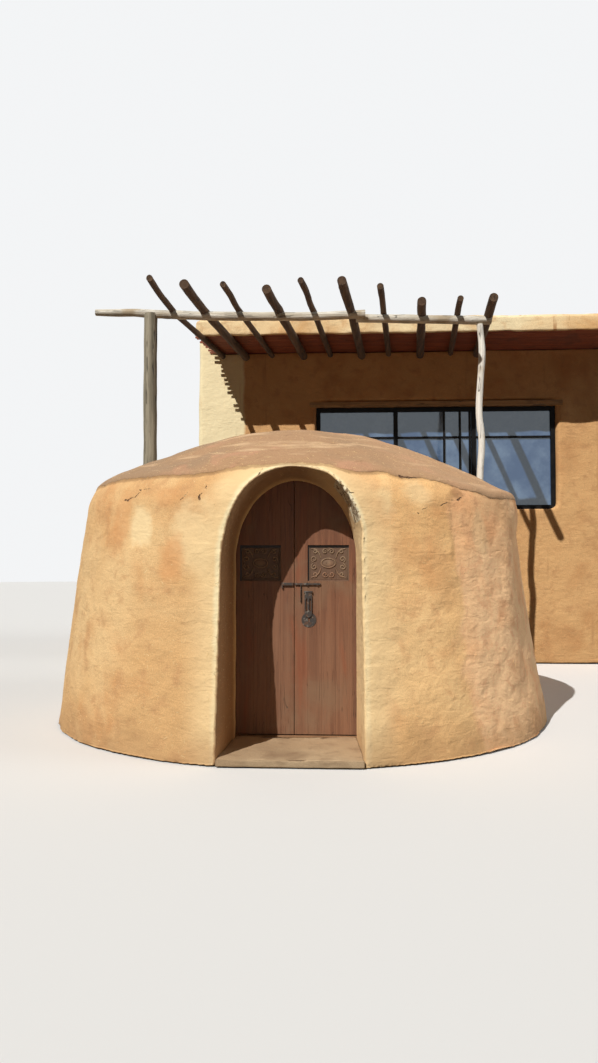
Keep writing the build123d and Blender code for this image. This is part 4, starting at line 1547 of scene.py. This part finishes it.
window = {
    "left": 0.02,
    "right": 3.46,
    "sill": 2.2,
    "head": 3.69,
    "front": 3.892,
    "back": 3.948,
    "bar": 0.06,
    "uprights": [1.877, 2.106, 2.248],
    "rail": 3.25,
    "thinBar": 0.03,
    "panes": 3,
    "into": 0.002,  # how far a thin bar runs into the frame
    "railBack": 0.003,
}


def makeWindow():
    makeWornCopy("window_frame", "window_frame_bars", "house", "dark_frame", "bars", 0.004)
    build = bmesh.new()
    thin = window["thinBar"] / 2
    bar, into = window["bar"], window["into"]
    front, back = window["front"], window["back"]
    low = window["sill"] + bar - into
    high = window["head"] - bar + into
    for x in window["uprights"]:
        addBlock(build, (x - thin, front, low), (x + thin, back, high), 0.003)
    front += window["railBack"]
    back -= window["railBack"]
    width = (window["right"] - window["left"] - bar * (window["panes"] + 1)) / window["panes"]
    for index in range(window["panes"]):
        start = window["left"] + bar + index * (width + bar)
        addBlock(
            build, (start - into, front, window["rail"] - thin),
            (start + width + into, back, window["rail"] + thin), 0.003,
        )
    piece = pieceFrom(build, "window_thin_bars")
    dress(piece, "bars")
    give(piece, "house", "dark_frame")


def makeLintel():
    piece = splitBlock("window_lintel", "rough_lintel", 0.012, 3)
    points, normals = shapeOf(piece.data)
    points += normals * (0.004 * swell(points * [1, 6, 6], 2.0, 41) - 0.004)[:, None]
    writePoints(piece.data, points)
    dress(piece, "lintel")
    give(piece, "house", "lintel_wood", "window_lintel")


def makeStep():
    piece = splitBlock("doorstep", "worn_doorstep", 0.016, 4)
    points, normals = shapeOf(piece.data)
    x, y, z = points.T
    low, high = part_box("doorstep")
    half = dome["archHalf"] + dome["archWiden"] * archFlare(y) + 0.004
    x[:] = door["x"] + (x - door["x"]) * half / ((high[0] - low[0]) / 2)
    wear = 0.010 * np.exp(-((x - door["x"]) / 0.25) ** 2) * (z > 0.05)
    points += normals * (0.005 * swell(points, 9.0, 51) - 0.005 - wear)[:, None]
    z[:] = np.maximum(z, 0)
    writePoints(piece.data, keepInBox(points))
    smoothShade(piece.data)
    dress(piece, "step")
    give(piece, "house", "step_stone", "doorstep")


def dressNodes():
    for node, look in (
        ("dome_floor", "floor"),
        ("upper_floor", "floor"),
        ("door_frame", "doorFrame"),
        ("window_glass", "glass"),
    ):
        for slot in cadNodes[node].material_slots:
            slot.material = materials[look]


print("stage: camera, lamps and floor")
makeCamera()
makeLamps()
makeWorld()
makeFloor()
print("stage: domed room")
strawTree = makeStrawTree()
makeDome()
makeStep()
print("stage: house walls and roof")
makeHouseWalls()
makeSlabPart("earth_slab_front", -1)
makeSlabPart("earth_slab_back", 1)
makeSoffit()
print("stage: pergola")
poleTree = makePoleTree()
makeRafters()
makeBeamsAndPosts()
print("stage: door")
for side, hand in ((-1, "left"), (1, "right")):
    makeLeaf(side, hand)
    makeCarvedPanel(side, hand)
makeIronwork()
print("stage: window")
makeWindow()
makeLintel()
dressNodes()

total = 0
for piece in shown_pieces():
    piece.data.calc_loop_triangles()
    count = len(piece.data.loop_triangles)
    total += count
    if count > 20000:
        print("triangles", piece.name, count)
print("triangles in all", total)
